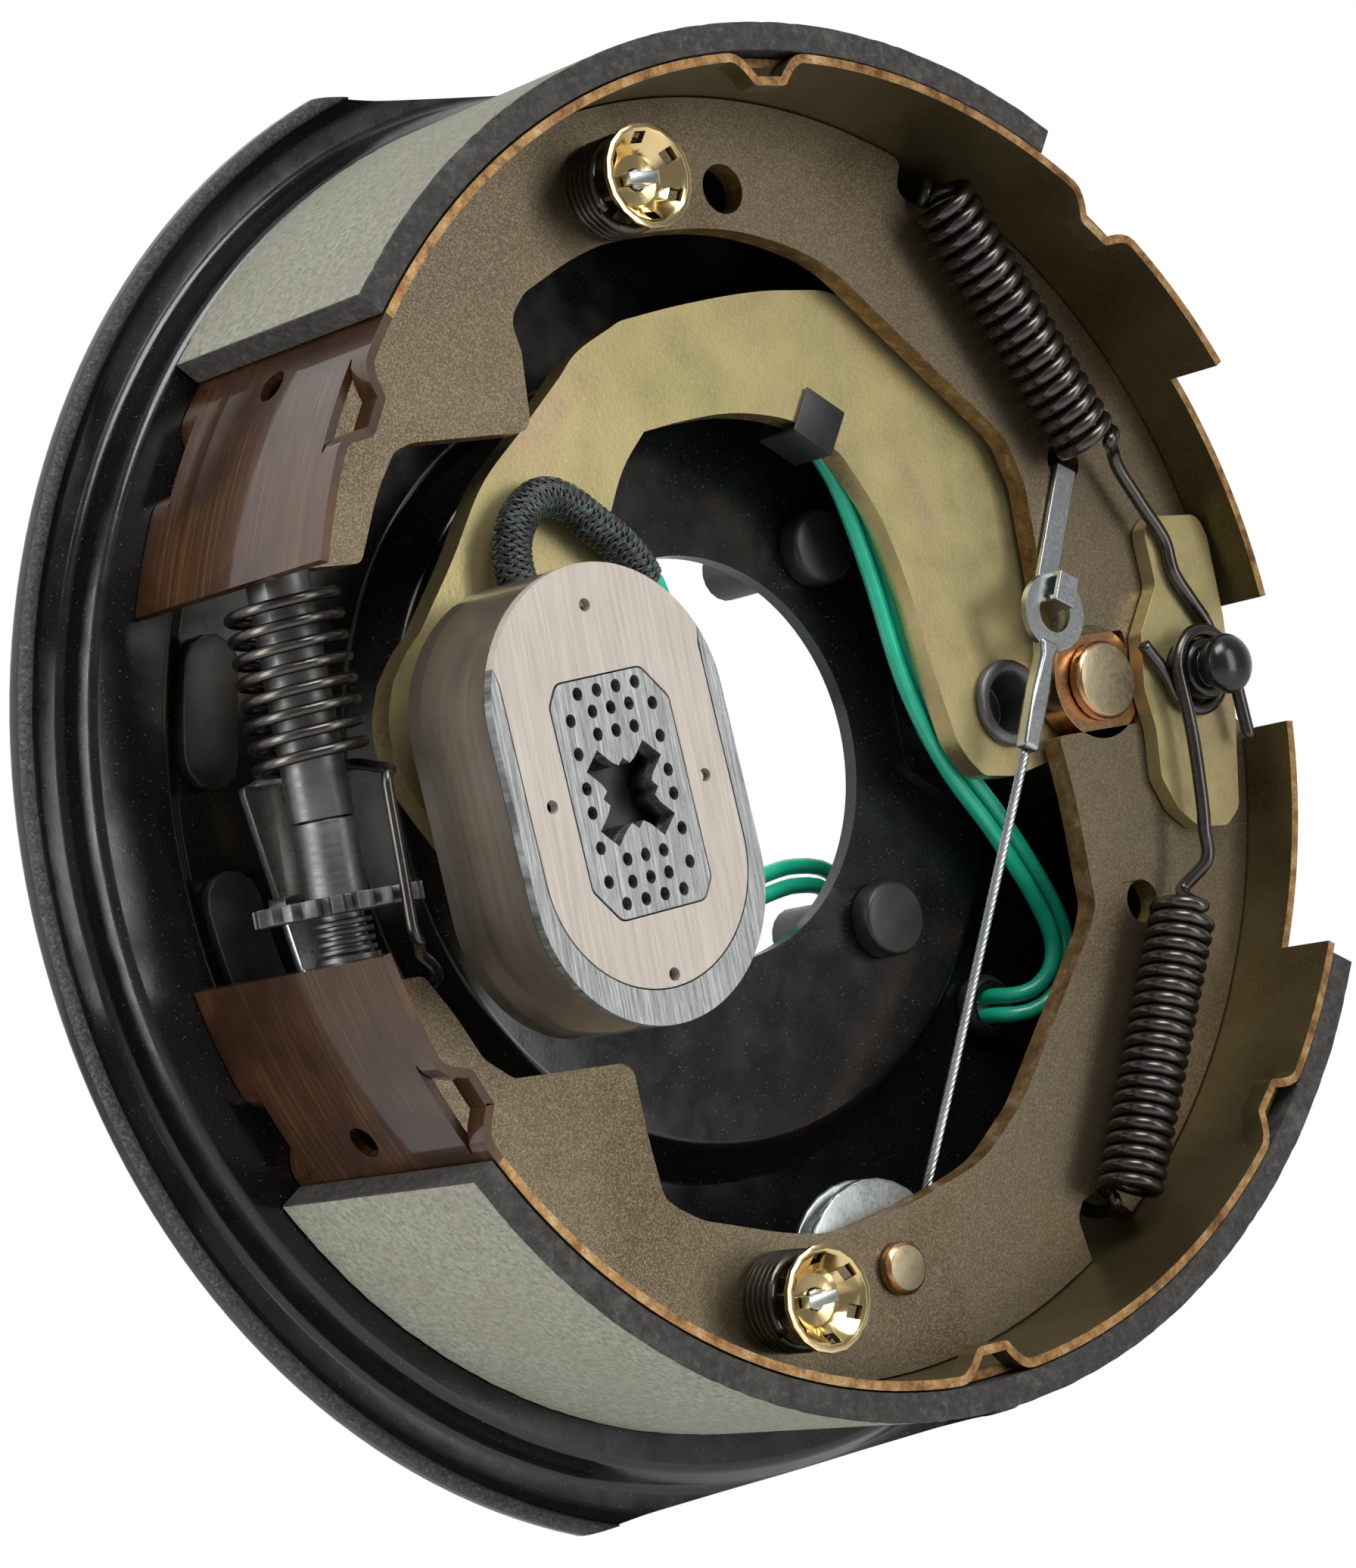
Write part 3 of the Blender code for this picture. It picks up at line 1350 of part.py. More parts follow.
# Self-adjust lever behind the adjuster, on a pin behind the lower web
BLADE_PIN = (BLADE_PIN_X, BLADE_PIN_Z)
CABLE_EYE = (-0.0770, -0.0490)
blade_line = [
    (-0.1102, 0.0070, 0.001),
    (-0.1040, 0.0090, 0.002),
    (-0.0925, 0.0080, 0.003),
    (-0.0915, -0.0150, 0.004),
    (-0.0870, -0.0330, 0.006),
    (-0.0740, -0.0430, 0.006),
    (-0.0715, -0.0560, 0.008),
    (-0.0780, -0.0660, 0.006),
    (-0.0870, -0.0655, 0.006),
    (-0.0950, -0.0500, 0.008),
    (-0.1045, -0.0280, 0.004),
]
blade = flat_solid(
    [fillet(blade_line), circle(BLADE_PIN, BLADE_PIN_R + RUN, 12), circle(CABLE_EYE, 0.0017, 10)],
    BLADE_FRONT,
    BLADE_BACK,
)
pawl = box(
    (ADJ_X - 0.0030, BLADE_FRONT - 0.0040, STAR_TOP + RUN),
    (ADJ_X + 0.0030, BLADE_FRONT + 0.0010, STAR_TOP + RUN + 0.0014),
)
boolean(blade, pawl, "UNION")
keep(blade, "self_adjust_lever", BRIGHT_ZINC)
blade_pin_profile = [
    (0.0, WEB_BACK + GAP),
    (BLADE_PIN_R + 0.0022, WEB_BACK + GAP),
    (BLADE_PIN_R + 0.0022, BLADE_FRONT - RUN),
    (BLADE_PIN_R, BLADE_FRONT - RUN),
    (BLADE_PIN_R, BLADE_BACK + RUN),
    (BLADE_PIN_R + 0.0016, BLADE_BACK + RUN),
    (BLADE_PIN_R + 0.0010, BLADE_BACK + 0.0016),
    (0.0, BLADE_BACK + 0.0016),
]
keep(turned(blade_pin_profile, BLADE_PIN, 16), "self_adjust_lever_pin", GREY_STEEL)

# Cable guide: a grooved disc behind the lower web, held by its rivet
disc_back = GUIDE_DISC_FRONT + GUIDE_W
disc_hole = RIVET_R * 0.5 + GAP
disc_profile = [
    (GUIDE_R - 0.0004, GUIDE_DISC_FRONT),
    (GUIDE_R, GUIDE_DISC_FRONT + 0.0004),
    (GUIDE_R, GUIDE_DISC_FRONT + 0.0011),
    (GROOVE_R, GROOVE_Y - CABLE_R - 0.0002),
    (GROOVE_R, GROOVE_Y + CABLE_R + 0.0002),
    (GUIDE_R, disc_back - 0.0011),
    (GUIDE_R, disc_back),
    (disc_hole, disc_back),
    (disc_hole, GUIDE_DISC_FRONT),
]
disc = turned(disc_profile, (GUIDE_X, GUIDE_Z), 28, closed=True)
keep(disc, "cable_guide", BRIGHT_ZINC)
rivet_profile = [
    (0.0, WEB_FRONT - GAP - 0.0024),
    (RIVET_R - 0.0008, WEB_FRONT - GAP - 0.0024),
    (RIVET_R, WEB_FRONT - GAP - 0.0016),
    (RIVET_R, WEB_FRONT - GAP),
    (RIVET_R * 0.5, WEB_FRONT - GAP),
    (RIVET_R * 0.5, disc_back + GAP),
    (RIVET_R * 0.8, disc_back + GAP),
    (RIVET_R * 0.7, disc_back + 0.0014),
    (0.0, disc_back + 0.0014),
]
keep(turned(rivet_profile, (GUIDE_X, GUIDE_Z), 20), "cable_guide_rivet", GOLD_ZINC)

# Cable end ring with its ferrule, the hooked link and the wire rope
ring_front = RING_Y - RING_T
ferrule_end = Vector((0.0540, -0.0098))
ring_centre = Vector((RING_X, RING_Z))
way = (ferrule_end - ring_centre).normalized()
side_way = Vector((-way.y, way.x))
neck_start = ring_centre + way * RING_R * 0.80
half_w = 0.0019
ferrule = flat_solid(
    [
        [
            tuple(neck_start - side_way * 0.0030),
            tuple(neck_start + side_way * 0.0030),
            tuple(neck_start + way * 0.0035 + side_way * half_w),
            tuple(ferrule_end + side_way * half_w),
            tuple(ferrule_end - side_way * half_w),
            tuple(neck_start + way * 0.0035 - side_way * half_w),
        ]
    ],
    RING_Y - 0.0021,
    RING_Y + 0.0012,
)
ring = flat_solid(
    [circle(tuple(ring_centre), RING_R, 24), circle(tuple(ring_centre), RING_HOLE_R, 16)],
    ring_front,
    RING_Y,
)
boolean(ring, ferrule, "UNION")
keep(ring, "cable_end", BRIGHT_ZINC)

link_top = Vector((LINK_X - 0.0026, LINK_Z - 0.0052))
link_low = Vector((RING_X + 0.0012, RING_Z + 0.0004))
drop = (link_low - link_top).normalized()
reach = (link_low - link_top).length
link_back = WEB_FRONT - GAP
link_front = link_back - LINK_T
tab_back = ring_front - 0.0015
tab_front = tab_back - LINK_T
link_profile = [
    (-0.0035, link_front),
    (reach - 0.0012, link_front),
    (reach - 0.0012, tab_back),
    (reach - 0.0062, tab_back),
    (reach - 0.0062, tab_front),
    (reach, tab_front),
    (reach, link_back),
    (-0.0022, link_back),
    (-0.0022, WEB_BACK + 0.0010),
    (-0.0035, WEB_BACK + 0.0010),
]
link = strip(link_profile, LINK_W * 0.8, link_top, drop)
keep(link, "cable_link", BRIGHT_ZINC)

groove = GROOVE_R + GAP + CABLE_R
start = Vector((ferrule_end.x, RING_Y, ferrule_end.y)) + Vector((way.x, 0, way.y)) * GAP
cable_route = [start]
onto = point((GUIDE_X, GUIDE_Z), groove, 22)
for t in (0.33, 0.66):
    cable_route.append(start.lerp(Vector((onto[0], GROOVE_Y, onto[1])), t))
for k in range(13):
    x, z = point((GUIDE_X, GUIDE_Z), groove, 22 - 12 * k)
    cable_route.append(Vector((x, GROOVE_Y, z)))
eye = Vector((CABLE_EYE[0], GROOVE_Y, CABLE_EYE[1]))
last = cable_route[-1]
for t in (0.35, 0.7):
    cable_route.append(last.lerp(eye, t))
cable_route += [
    Vector((CABLE_EYE[0] + 0.0015, GROOVE_Y + 0.0010, CABLE_EYE[1] - 0.0010)),
    Vector((CABLE_EYE[0], GROOVE_Y + 0.0035, CABLE_EYE[1])),
    Vector((CABLE_EYE[0], BLADE_BACK + 0.0020, CABLE_EYE[1])),
]
keep(wire(cable_route, CABLE_R), "adjuster_cable", BRIGHT_ZINC)

# Braided sleeve over the magnet's leads
sleeve_route = [
    (-0.0520, -0.0305, 0.0265),
    (-0.0558, -0.0300, 0.0335),
    (-0.0560, -0.0292, 0.0390),
    (-0.0543, -0.0288, 0.0436),
    (-0.0505, -0.0284, 0.0478),
    (-0.0459, -0.0284, 0.0496),
    (-0.0411, -0.0284, 0.0480),
    (-0.0358, -0.0284, 0.0439),
    (-0.0310, -0.0282, 0.0398),
    (-0.0272, -0.0275, 0.0360),
    (-0.0246, -0.0262, 0.0330),
]
sleeve_path = smooth_path(sleeve_route, 0.0045)
keep(wire(sleeve_path, SLEEVE_R, 2), "lead_sleeve", BRAID)

# Two leads behind the arm, through the clip and down to the grommet
LEAD_Y = ARM_BACK + GAP + LEAD_R + 0.0002
sleeve_end = sleeve_path[-1]
sleeve_way = (sleeve_end - sleeve_path[-2]).normalized()
lead_route = [
    sleeve_end + sleeve_way * 2 * GAP,
    sleeve_end + sleeve_way * 0.0050,
    (-0.0260, -0.0262, 0.0245),
    (-0.0298, -0.0262, 0.0175),
    (-0.0325, -0.0225, 0.0125),
    (-0.0338, -0.0175, 0.0105),
    (-0.0385, -0.0148, 0.0130),
    (-0.0415, -0.0148, 0.0250),
    (-0.0420, -0.0155, 0.0380),
    (-0.0390, LEAD_Y, 0.0520),
    (-0.0240, LEAD_Y, 0.0675),
    (-0.0040, LEAD_Y, 0.0735),
    (0.0140, LEAD_Y, 0.0695),
    (0.0225, LEAD_Y, 0.0650),
    (0.0292, LEAD_Y, 0.0598),
    (0.0338, LEAD_Y, 0.0535),
    (0.0375, LEAD_Y, 0.0450),
    (0.0415, LEAD_Y + 0.0005, 0.0290),
    (0.0448, LEAD_Y + 0.0005, 0.0080),
    (0.0515, LEAD_Y + 0.0010, -0.0085),
    (0.0625, -0.0135, -0.0226),
    (0.0730, -0.0105, -0.0368),
    (0.0778, -0.0085, -0.0465),
    (0.0768, -0.0070, -0.0535),
    (0.0722, -0.0052, -0.0574),
    (0.0680, -0.0030, -0.0580),
    (GROMMET_X, 0.0005, GROMMET_Z),
    (GROMMET_X, FLOOR_Y + 0.0012, GROMMET_Z),
]
lead_path = smooth_path(lead_route, 0.0085)
for i, offset in enumerate((-1, 1), 1):
    path = beside(lead_path, (0.3, 0.0, -1.0), offset * (LEAD_R + GAP))
    keep(wire(path, LEAD_R), f"lead_{i}", GREEN)

# Clip that holds the leads behind the arm's inner edge
edge_mid = Vector((0.0250, 0.0562))
edge_way = Vector((0.0099, -0.0068)).normalized()
inward = Vector((edge_way.y, -edge_way.x))
if inward.dot(edge_mid) > 0:
    inward = -inward
leg_front = ARM_FRONT - GAP - CLIP_T
leg_back = LEAD_Y + LEAD_R + GAP
clip_line = [
    (-0.0075, leg_front),
    (0.0013 + CLIP_T, leg_front),
    (0.0013 + CLIP_T, leg_back + CLIP_T),
    (-0.0090, leg_back + CLIP_T),
    (-0.0090, leg_back),
    (0.0013, leg_back),
    (0.0013, leg_front + CLIP_T),
    (-0.0075, leg_front + CLIP_T),
]
clip = strip(clip_line, CLIP_W, edge_mid, inward)
keep(clip, "wire_clip", BLACK_STEEL)

# Grommet in the plate, and the free tails behind it
neck = GROMMET_R - 0.0016
bore = 2 * LEAD_R + 2 * GAP
grommet_profile = [
    (bore + 0.0006, FLOOR_Y - GAP - 0.0040),
    (GROMMET_R - 0.0012, FLOOR_Y - GAP - 0.0040),
    (GROMMET_R, FLOOR_Y - GAP - 0.0020),
    (GROMMET_R, FLOOR_Y - GAP),
    (neck, FLOOR_Y - GAP),
    (neck, REAR_Y + GAP),
    (GROMMET_R, REAR_Y + GAP),
    (GROMMET_R, REAR_Y + 0.0020),
    (bore, REAR_Y + 0.0020),
    (bore, FLOOR_Y - GAP - 0.0030),
]
grommet = turned(grommet_profile, (GROMMET_X, GROMMET_Z), 16, closed=True)
keep(grommet, "grommet", RUBBER)

coil_front = REAR_Y + GAP
coil_mid = coil_front + TAIL_COIL_T / 2
coil_side = point((COIL_X, COIL_Z), TAIL_COIL_R + 2 * GAP, 20)
coil_way = point((COIL_X, COIL_Z), TAIL_COIL_R + 0.0100, 20)
tail_route = [
    (GROMMET_X, FLOOR_Y + 0.0012 + GAP, GROMMET_Z),
    (GROMMET_X, REAR_Y + 0.0024, GROMMET_Z),
    (0.0640, TAIL_Y - 0.0012, -0.0550),
    (0.0600, TAIL_Y, -0.0500),
    (0.0520, TAIL_Y, -0.0385),
    (0.0430, TAIL_Y, -0.0275),
    (0.0350, TAIL_Y, -0.0250),
    (0.0270, TAIL_Y, -0.0255),
    (0.0140, TAIL_Y, -0.0295),
    (-0.0060, TAIL_Y, -0.0380),
    (-0.0200, coil_mid + 0.0015, -0.0440),
    (coil_way[0], coil_mid, coil_way[1]),
    (coil_side[0], coil_mid, coil_side[1]),
]
tail_path = smooth_path(tail_route, 0.0100)
for i, offset in enumerate((-1, 1), 1):
    path = beside(tail_path, (0.3, 0.0, -1.0), offset * (LEAD_R + GAP))
    keep(wire(path, LEAD_R), f"lead_tail_{i}", GREEN)
ring_in = TAIL_COIL_R - 0.0090
coil_profile = [
    (TAIL_COIL_R - 0.0025, coil_front),
    (TAIL_COIL_R, coil_front + 0.0025),
    (TAIL_COIL_R, coil_front + TAIL_COIL_T - 0.0025),
    (TAIL_COIL_R - 0.0025, coil_front + TAIL_COIL_T),
    (ring_in + 0.0025, coil_front + TAIL_COIL_T),
    (ring_in, coil_front + TAIL_COIL_T - 0.0025),
    (ring_in, coil_front + 0.0025),
    (ring_in + 0.0025, coil_front),
]
keep(turned(coil_profile, (COIL_X, COIL_Z), 24, closed=True), "lead_coil", GREEN)

# What moves hangs on an empty that sits on its joint's axis
carry(
    "upper_shoe_pivot",
    (POST_X, WEB_Y, 0.0),
    "upper_shoe_web",
    "upper_shoe_table",
    "upper_lining",
    "cable_link",
    "cable_end",
)
carry(
    "lower_shoe_pivot",
    (POST_X, WEB_Y, 0.0),
    "lower_shoe_web",
    "lower_shoe_table",
    "lower_lining",
    "cable_guide",
    "cable_guide_rivet",
    "self_adjust_lever_pin",
    "adjuster_tube",
    "adjuster_nut",
    "adjuster_spring",
    "adjuster_cable",
)
carry("star_screw_axis", (ADJ_X, ADJ_Y, STAR_TOP - STAR_T / 2), "star_screw")
carry("adjust_lever_pivot", (BLADE_PIN_X, BLADE_FRONT, BLADE_PIN_Z), "self_adjust_lever")
carry(
    "arm_pivot",
    (PIVOT_X, ARM_FRONT, 0.0),
    "lever_arm",
    "drive_block",
    "drive_pin",
    "magnet_stud",
    "magnet_spring",
    "wire_clip",
    "lead_1",
    "lead_2",
    "lead_sleeve",
)
carry(
    "magnet_slide",
    (MAGNET_X, MAGNET_BACK, MAGNET_Z),
    "magnet_case",
    "magnet_pole",
    "magnet_friction_pad",
    "magnet_core",
)
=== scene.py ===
"""Looks for the self-adjusting electric trailer brake.

Metres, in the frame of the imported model: -Y is the wheel side, +Z is up, +X
points to the anchor post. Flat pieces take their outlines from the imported
model; turned and wound pieces are made again here with finer steps.
"""

import json
import math

import bmesh
import bpy
from mathutils import Matrix, Vector, noise
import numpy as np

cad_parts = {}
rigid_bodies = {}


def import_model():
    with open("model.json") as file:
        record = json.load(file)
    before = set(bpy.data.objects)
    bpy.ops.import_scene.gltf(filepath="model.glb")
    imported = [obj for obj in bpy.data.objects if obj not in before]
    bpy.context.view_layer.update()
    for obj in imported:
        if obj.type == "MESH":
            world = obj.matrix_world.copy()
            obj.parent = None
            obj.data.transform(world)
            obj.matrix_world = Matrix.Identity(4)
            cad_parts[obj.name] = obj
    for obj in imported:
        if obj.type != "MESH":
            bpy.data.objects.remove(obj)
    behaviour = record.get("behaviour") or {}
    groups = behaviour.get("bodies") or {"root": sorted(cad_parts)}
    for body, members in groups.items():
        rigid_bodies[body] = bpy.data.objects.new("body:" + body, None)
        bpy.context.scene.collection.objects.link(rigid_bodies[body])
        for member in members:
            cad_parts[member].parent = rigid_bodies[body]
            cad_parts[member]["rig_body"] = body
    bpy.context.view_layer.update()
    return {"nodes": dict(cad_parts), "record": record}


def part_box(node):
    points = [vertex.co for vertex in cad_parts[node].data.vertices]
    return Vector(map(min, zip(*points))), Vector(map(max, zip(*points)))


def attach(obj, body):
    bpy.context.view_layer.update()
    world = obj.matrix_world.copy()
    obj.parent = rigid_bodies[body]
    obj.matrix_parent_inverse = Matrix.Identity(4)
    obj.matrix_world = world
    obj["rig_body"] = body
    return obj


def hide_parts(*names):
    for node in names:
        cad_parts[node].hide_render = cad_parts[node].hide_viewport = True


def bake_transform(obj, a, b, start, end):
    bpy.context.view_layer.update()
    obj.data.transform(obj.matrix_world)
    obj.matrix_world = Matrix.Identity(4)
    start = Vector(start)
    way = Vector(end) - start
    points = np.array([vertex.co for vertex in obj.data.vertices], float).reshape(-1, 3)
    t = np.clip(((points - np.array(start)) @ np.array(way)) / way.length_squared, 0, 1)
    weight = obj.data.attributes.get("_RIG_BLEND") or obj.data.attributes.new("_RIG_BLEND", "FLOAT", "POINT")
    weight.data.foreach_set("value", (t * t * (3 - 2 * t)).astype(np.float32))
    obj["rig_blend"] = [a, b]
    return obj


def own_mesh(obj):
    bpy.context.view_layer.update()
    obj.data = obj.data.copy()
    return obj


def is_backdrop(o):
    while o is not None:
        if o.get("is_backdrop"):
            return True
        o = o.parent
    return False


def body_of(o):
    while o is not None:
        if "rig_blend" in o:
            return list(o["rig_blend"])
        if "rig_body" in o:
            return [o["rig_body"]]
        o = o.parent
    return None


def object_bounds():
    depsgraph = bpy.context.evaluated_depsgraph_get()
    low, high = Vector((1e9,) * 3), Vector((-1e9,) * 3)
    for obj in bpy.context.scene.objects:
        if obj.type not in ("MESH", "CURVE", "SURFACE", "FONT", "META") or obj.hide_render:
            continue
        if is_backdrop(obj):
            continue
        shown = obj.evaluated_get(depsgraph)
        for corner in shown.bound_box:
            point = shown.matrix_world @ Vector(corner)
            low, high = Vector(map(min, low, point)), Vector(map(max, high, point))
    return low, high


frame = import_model()
NODES = frame["nodes"]

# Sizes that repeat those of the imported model
GAP = 0.0003
PLATE_T = 0.0032
PLATEAU_Y = -0.0032
FLOOR_Y = 0.0053
LEDGE_Y = 0.0022
CHANNEL_Y = 0.0083
REAR_Y = 0.0085
PLATEAU_R = 0.0710
LEDGE_R_IN, LEDGE_R_OUT = 0.1155, 0.1305
RIM_R = 0.1442
RIM_LIP = 0.0049
RIM_Z = -0.0022
FLAT_H = 0.1333
HUB_R = 0.0388
BOSS_RISE = 0.0016
BOSS_END = 0.1160
STUD_R = 0.0055
STUDS = [(x * 0.0365, z * 0.0365) for x in (-1, 1) for z in (1, -1)]
SLOTS = ((162.2, 171.2), (185.0, 194.6))
SLOT_RING_R = 0.1064
SLOT_HALF = 0.0038
GROMMET = (0.0660, -0.0575)
GROMMET_BORE = 0.0053
POST = (0.1020, 0.0)
POST_R = 0.0060
POST_TIP = -0.0401
PIVOT = (0.0615, 0.0)
HOLD_UP = (-0.0209, 0.1032)
HOLD_LOW = (-0.0292, -0.0998)
SHOE_W = 0.0570
SHOE_BACK = 0.0019
SHOE_FRONT = SHOE_BACK - SHOE_W
WEB_BACK, WEB_FRONT = -0.0254, -0.0302
UPPER, LOWER = (-0.0013, 0.0017), (-0.0004, 0.0005)
LINING_R, LINING_T = 0.1265, 0.0054
TABLE_IN, TABLE_T = 0.1191, 0.0017
UPPER_LINING, LOWER_LINING = (55.0, 139.7), (-148.8, -29.5)
UPPER_TABLE, LOWER_TABLE = (5.0, 161.5), (-167.4, -6.5)
UPPER_CRIMPS, LOWER_CRIMPS = (46.5, 88.0, 147.8), (-153.8, -91.0, -46.5)
CRIMP_DEPTH, CRIMP_HALF = 0.0046, 4.3
LANCE_W, LANCE_SLIT = 0.0045, 0.0004
HEEL_CUT, UPPER_HEEL, LOWER_HEEL = 0.0127, 27.7, -28.7
COIL_R, COIL_WIRE_R, COIL_Y = 0.0052, 0.00135, -0.0382
HOOK_BACK, HOOK_FRONT = -0.03575, -0.03875
MAGNET = (-0.0637, -0.0063)
MAGNET_TURN = math.radians(-3.3)
MAGNET_R, MAGNET_STRAIGHT = 0.0253, 0.0149
MAGNET_FRONT, MAGNET_BACK = -0.0591, -0.0351
PAD_R, PAD_DROP = 0.0222, 0.0338
CORE_X, CORE_Z = 0.0129, 0.0207
ARM_FRONT = -0.0237
ADJ_X, ADJ_Y = -0.1057, -0.0278
STAR_R = 0.0147
SLEEVE_R = 0.0038
LEAD_R = 0.0016
CABLE_R = 0.0010
HOLD_BORE_R, PIVOT_BORE_R = 0.0022, 0.0043

# Sizes of the finer pieces
BEND = 0.0015
HEAD_R, HEAD_H, HEAD_OUT, NECK_R = 0.0060, 0.0038, 0.0044, 0.0036
COLLAR_R, COLLAR_T, COLLAR_EDGE = 0.0125, 0.0040, 0.0005
PEEN_R, PEEN_TOP_R, PEEN_Y = 0.0026, 0.0014, 0.0030
TABLE_HOLE_R = 0.0031
MAGNET_STEP_Z, MAGNET_STEP_DROP = 0.0255, 0.0030
PAD_PIN_R = 0.0012
PAD_PINS = ((-0.0004, 0.0330), (0.0001, -0.0318), (-0.0173, 0.0008), (0.0170, 0.0))
CORE_HOLE_R, CORE_HOLE_STRETCH = 0.00105, 1.15
STAR_IN, STAR_OUT, STAR_HALF = 0.0060, 0.0096, 0.0023
SOCKET_DEPTH, SOCKET_END = 0.0050, 0.0060
CASE_WALL = 0.0022
WINDING_START, WINDING_PITCH = 0.0068, 0.00098
WINDING_GROOVE, WINDING_RIDGE = 0.0065, 0.0058

# How near points are welded, and how far tools reach past what they cut
WELD = 0.000002
PAST, FAR_PAST, FLAT_PAST = 0.002, 0.003, 0.010
DRILL_HALF = 0.006


# Materials
def feed(tree, socket, value):
    """Joins an output to a socket, or sets the socket to a value."""
    if isinstance(value, bpy.types.NodeSocket):
        tree.links.new(value, socket)
    else:
        socket.default_value = value


def linked(tree, kind, *inputs, **values):
    """A node whose inputs are joined or set, in their order."""
    made = tree.nodes.new(kind)
    for key, value in values.items():
        setattr(made, key, value)
    for socket, value in zip(made.inputs, inputs):
        feed(tree, socket, value)
    return made


class Paint:
    """A node material under construction."""

    def __init__(self, name):
        self.mat = bpy.data.materials.new(name)
        self.mat.use_nodes = True
        self.tree = self.mat.node_tree
        self.shader = self.tree.nodes["Principled BSDF"]
        self.place = linked(self.tree, "ShaderNodeTexCoord").outputs["Object"]
        self.noises = {}

    def feed_all(self, node, **values):
        for key, value in values.items():
            feed(self.tree, node.inputs[key.replace("_", " ")], value)

    def set(self, **values):
        self.feed_all(self.shader, **values)

    def noise(self, scale, detail, rough, distortion=0.0, stretch=(1, 1, 1), turn=(0, 0, 0)):
        """A noise in the object's own coordinates, made only once."""
        key = (scale, detail, rough, distortion, stretch, turn)
        if key not in self.noises:
            mapping = linked(self.tree, "ShaderNodeMapping")
            self.feed_all(mapping, Vector=self.place, Scale=stretch, Rotation=turn)
            made = linked(self.tree, "ShaderNodeTexNoise")
            self.feed_all(made, Vector=mapping.outputs["Vector"], Scale=scale, Detail=detail)
            self.feed_all(made, Roughness=rough, Distortion=distortion)
            self.noises[key] = made.outputs["Fac"]
        return self.noises[key]

    def ramp(self, value, stops):
        made = linked(self.tree, "ShaderNodeValToRGB", value)
        band = made.color_ramp
        while len(band.elements) > 1:
            band.elements.remove(band.elements[-1])
        band.elements[0].position = stops[0][0]
        band.elements[0].color = (*stops[0][1], 1.0)
        for where, colour in stops[1:]:
            band.elements.new(where).color = (*colour, 1.0)
        return made.outputs["Color"]

    def range(self, value, low, high, out_low=0.0, out_high=1.0):
        made = linked(self.tree, "ShaderNodeMapRange", value, low, high, out_low, out_high)
        return made.outputs["Result"]

    def mix(self, amount, a, b):
        made = linked(self.tree, "ShaderNodeMix", amount, data_type="RGBA")
        for socket, value in ((made.inputs[6], a), (made.inputs[7], b)):
            feed(self.tree, socket, (*value, 1.0) if isinstance(value, tuple) else value)
        return made.outputs[2]

    def bump(self, height, strength, distance, under=None):
        """A bump on the shader, over an earlier one where it is given."""
        made = linked(self.tree, "ShaderNodeBump")
        self.feed_all(made, Height=height, Strength=strength, Distance=distance)
        if under is not None:
            self.feed_all(made, Normal=under)
        self.set(Normal=made.outputs["Normal"])
        return made.outputs["Normal"]


def toned(name, ground, stops, flecks=None, gloss=None, bump=None, **values):
    """A material in the tones of one noise, with flecks, gloss and bumps.

    A noise is given by the arguments of Paint.noise. Flecks add the ends of
    their range, a strength and a colour to it, gloss adds the ends of its
    range and two roughnesses, and bumps add a strength and a height.
    """
    p = Paint(name)
    tone = p.ramp(p.noise(*ground), stops)
    if flecks:
        source, low, high, strength, colour = flecks
        tone = p.mix(p.range(p.noise(*source), low, high, 0.0, strength), tone, colour)
    p.set(Base_Color=tone, **values)
    if gloss:
        source, *limits = gloss
        p.set(Roughness=p.range(p.noise(*source), *limits))
    if bump:
        source, strength, distance = bump
        p.bump(p.noise(*source), strength, distance)
    return p.mat


def gloss_black():
    """Dipped paint: orange peel, a little dust, soft variation in gloss."""
    p = Paint("gloss black paint")
    dust = p.range(p.noise(2600, 1, 0.5), 0.735, 0.76)
    haze = p.range(p.noise(35, 3, 0.6), 0.45, 0.75, 0.0, 0.35)
    body = p.mix(haze, (0.0045, 0.0045, 0.005), (0.013, 0.013, 0.0135))
    gloss = p.range(p.noise(160, 2, 0.5), 0.3, 0.7, 0.16, 0.27)
    p.set(Base_Color=p.mix(dust, body, (0.13, 0.13, 0.125)), Roughness=gloss, Specular_IOR_Level=0.5)
    peel = p.bump(p.noise(230, 1, 0.3), 0.10, 0.0004)
    p.bump(p.noise(1500, 2, 0.5), 0.12, 0.0001, peel)
    return p.mat


def lacquer():
    """Brown varnish over ground steel, with streaks along the grinding; its lightest streaks are painted
    highlight.
    """
    p = Paint("brown lacquer")
    streak = p.noise(22, 3, 0.7, 0.0, (1.0, 95.0, 1.0))
    pool = p.range(p.noise(38, 4, 0.6, 0.8), 0.38, 0.58)
    # Streak tones along the grinding; the lightest stop of this ramp is painted highlight.
    under = p.ramp(
        streak, [(0.36, (0.034, 0.011, 0.003)), (0.55, (0.066, 0.026, 0.006)), (0.70, (0.115, 0.062, 0.028))]
    )
    p.set(Base_Color=p.mix(pool, (0.026, 0.008, 0.002), under), Metallic=0.35, Roughness=0.35)
    p.set(Coat_Weight=0.8, Coat_Roughness=0.05, Coat_IOR=1.45)
    low = p.bump(streak, 0.15, 0.0004)
    p.bump(p.noise(130, 2, 0.5), 0.3, 0.0007, low)
    return p.mat


def metal(name, colour, rough, other, speck=900, strength=0.15, metallic=1.0, stretch=(1, 1, 1)):
    """A metal with a cloudy second tone, fine grain and uneven gloss."""
    p = Paint(name)
    cloud = p.range(p.noise(70, 4, 0.6, 0.5), 0.38, 0.66)
    grain = p.noise(speck, 3, 0.6, 0.0, stretch)
    gloss = p.range(grain, 0.3, 0.7, rough * 0.85, min(1.0, rough * 1.2))
    p.set(Base_Color=p.mix(cloud, colour, other), Roughness=gloss, Metallic=metallic)
    p.bump(grain, strength, 0.00012)
    return p.mat


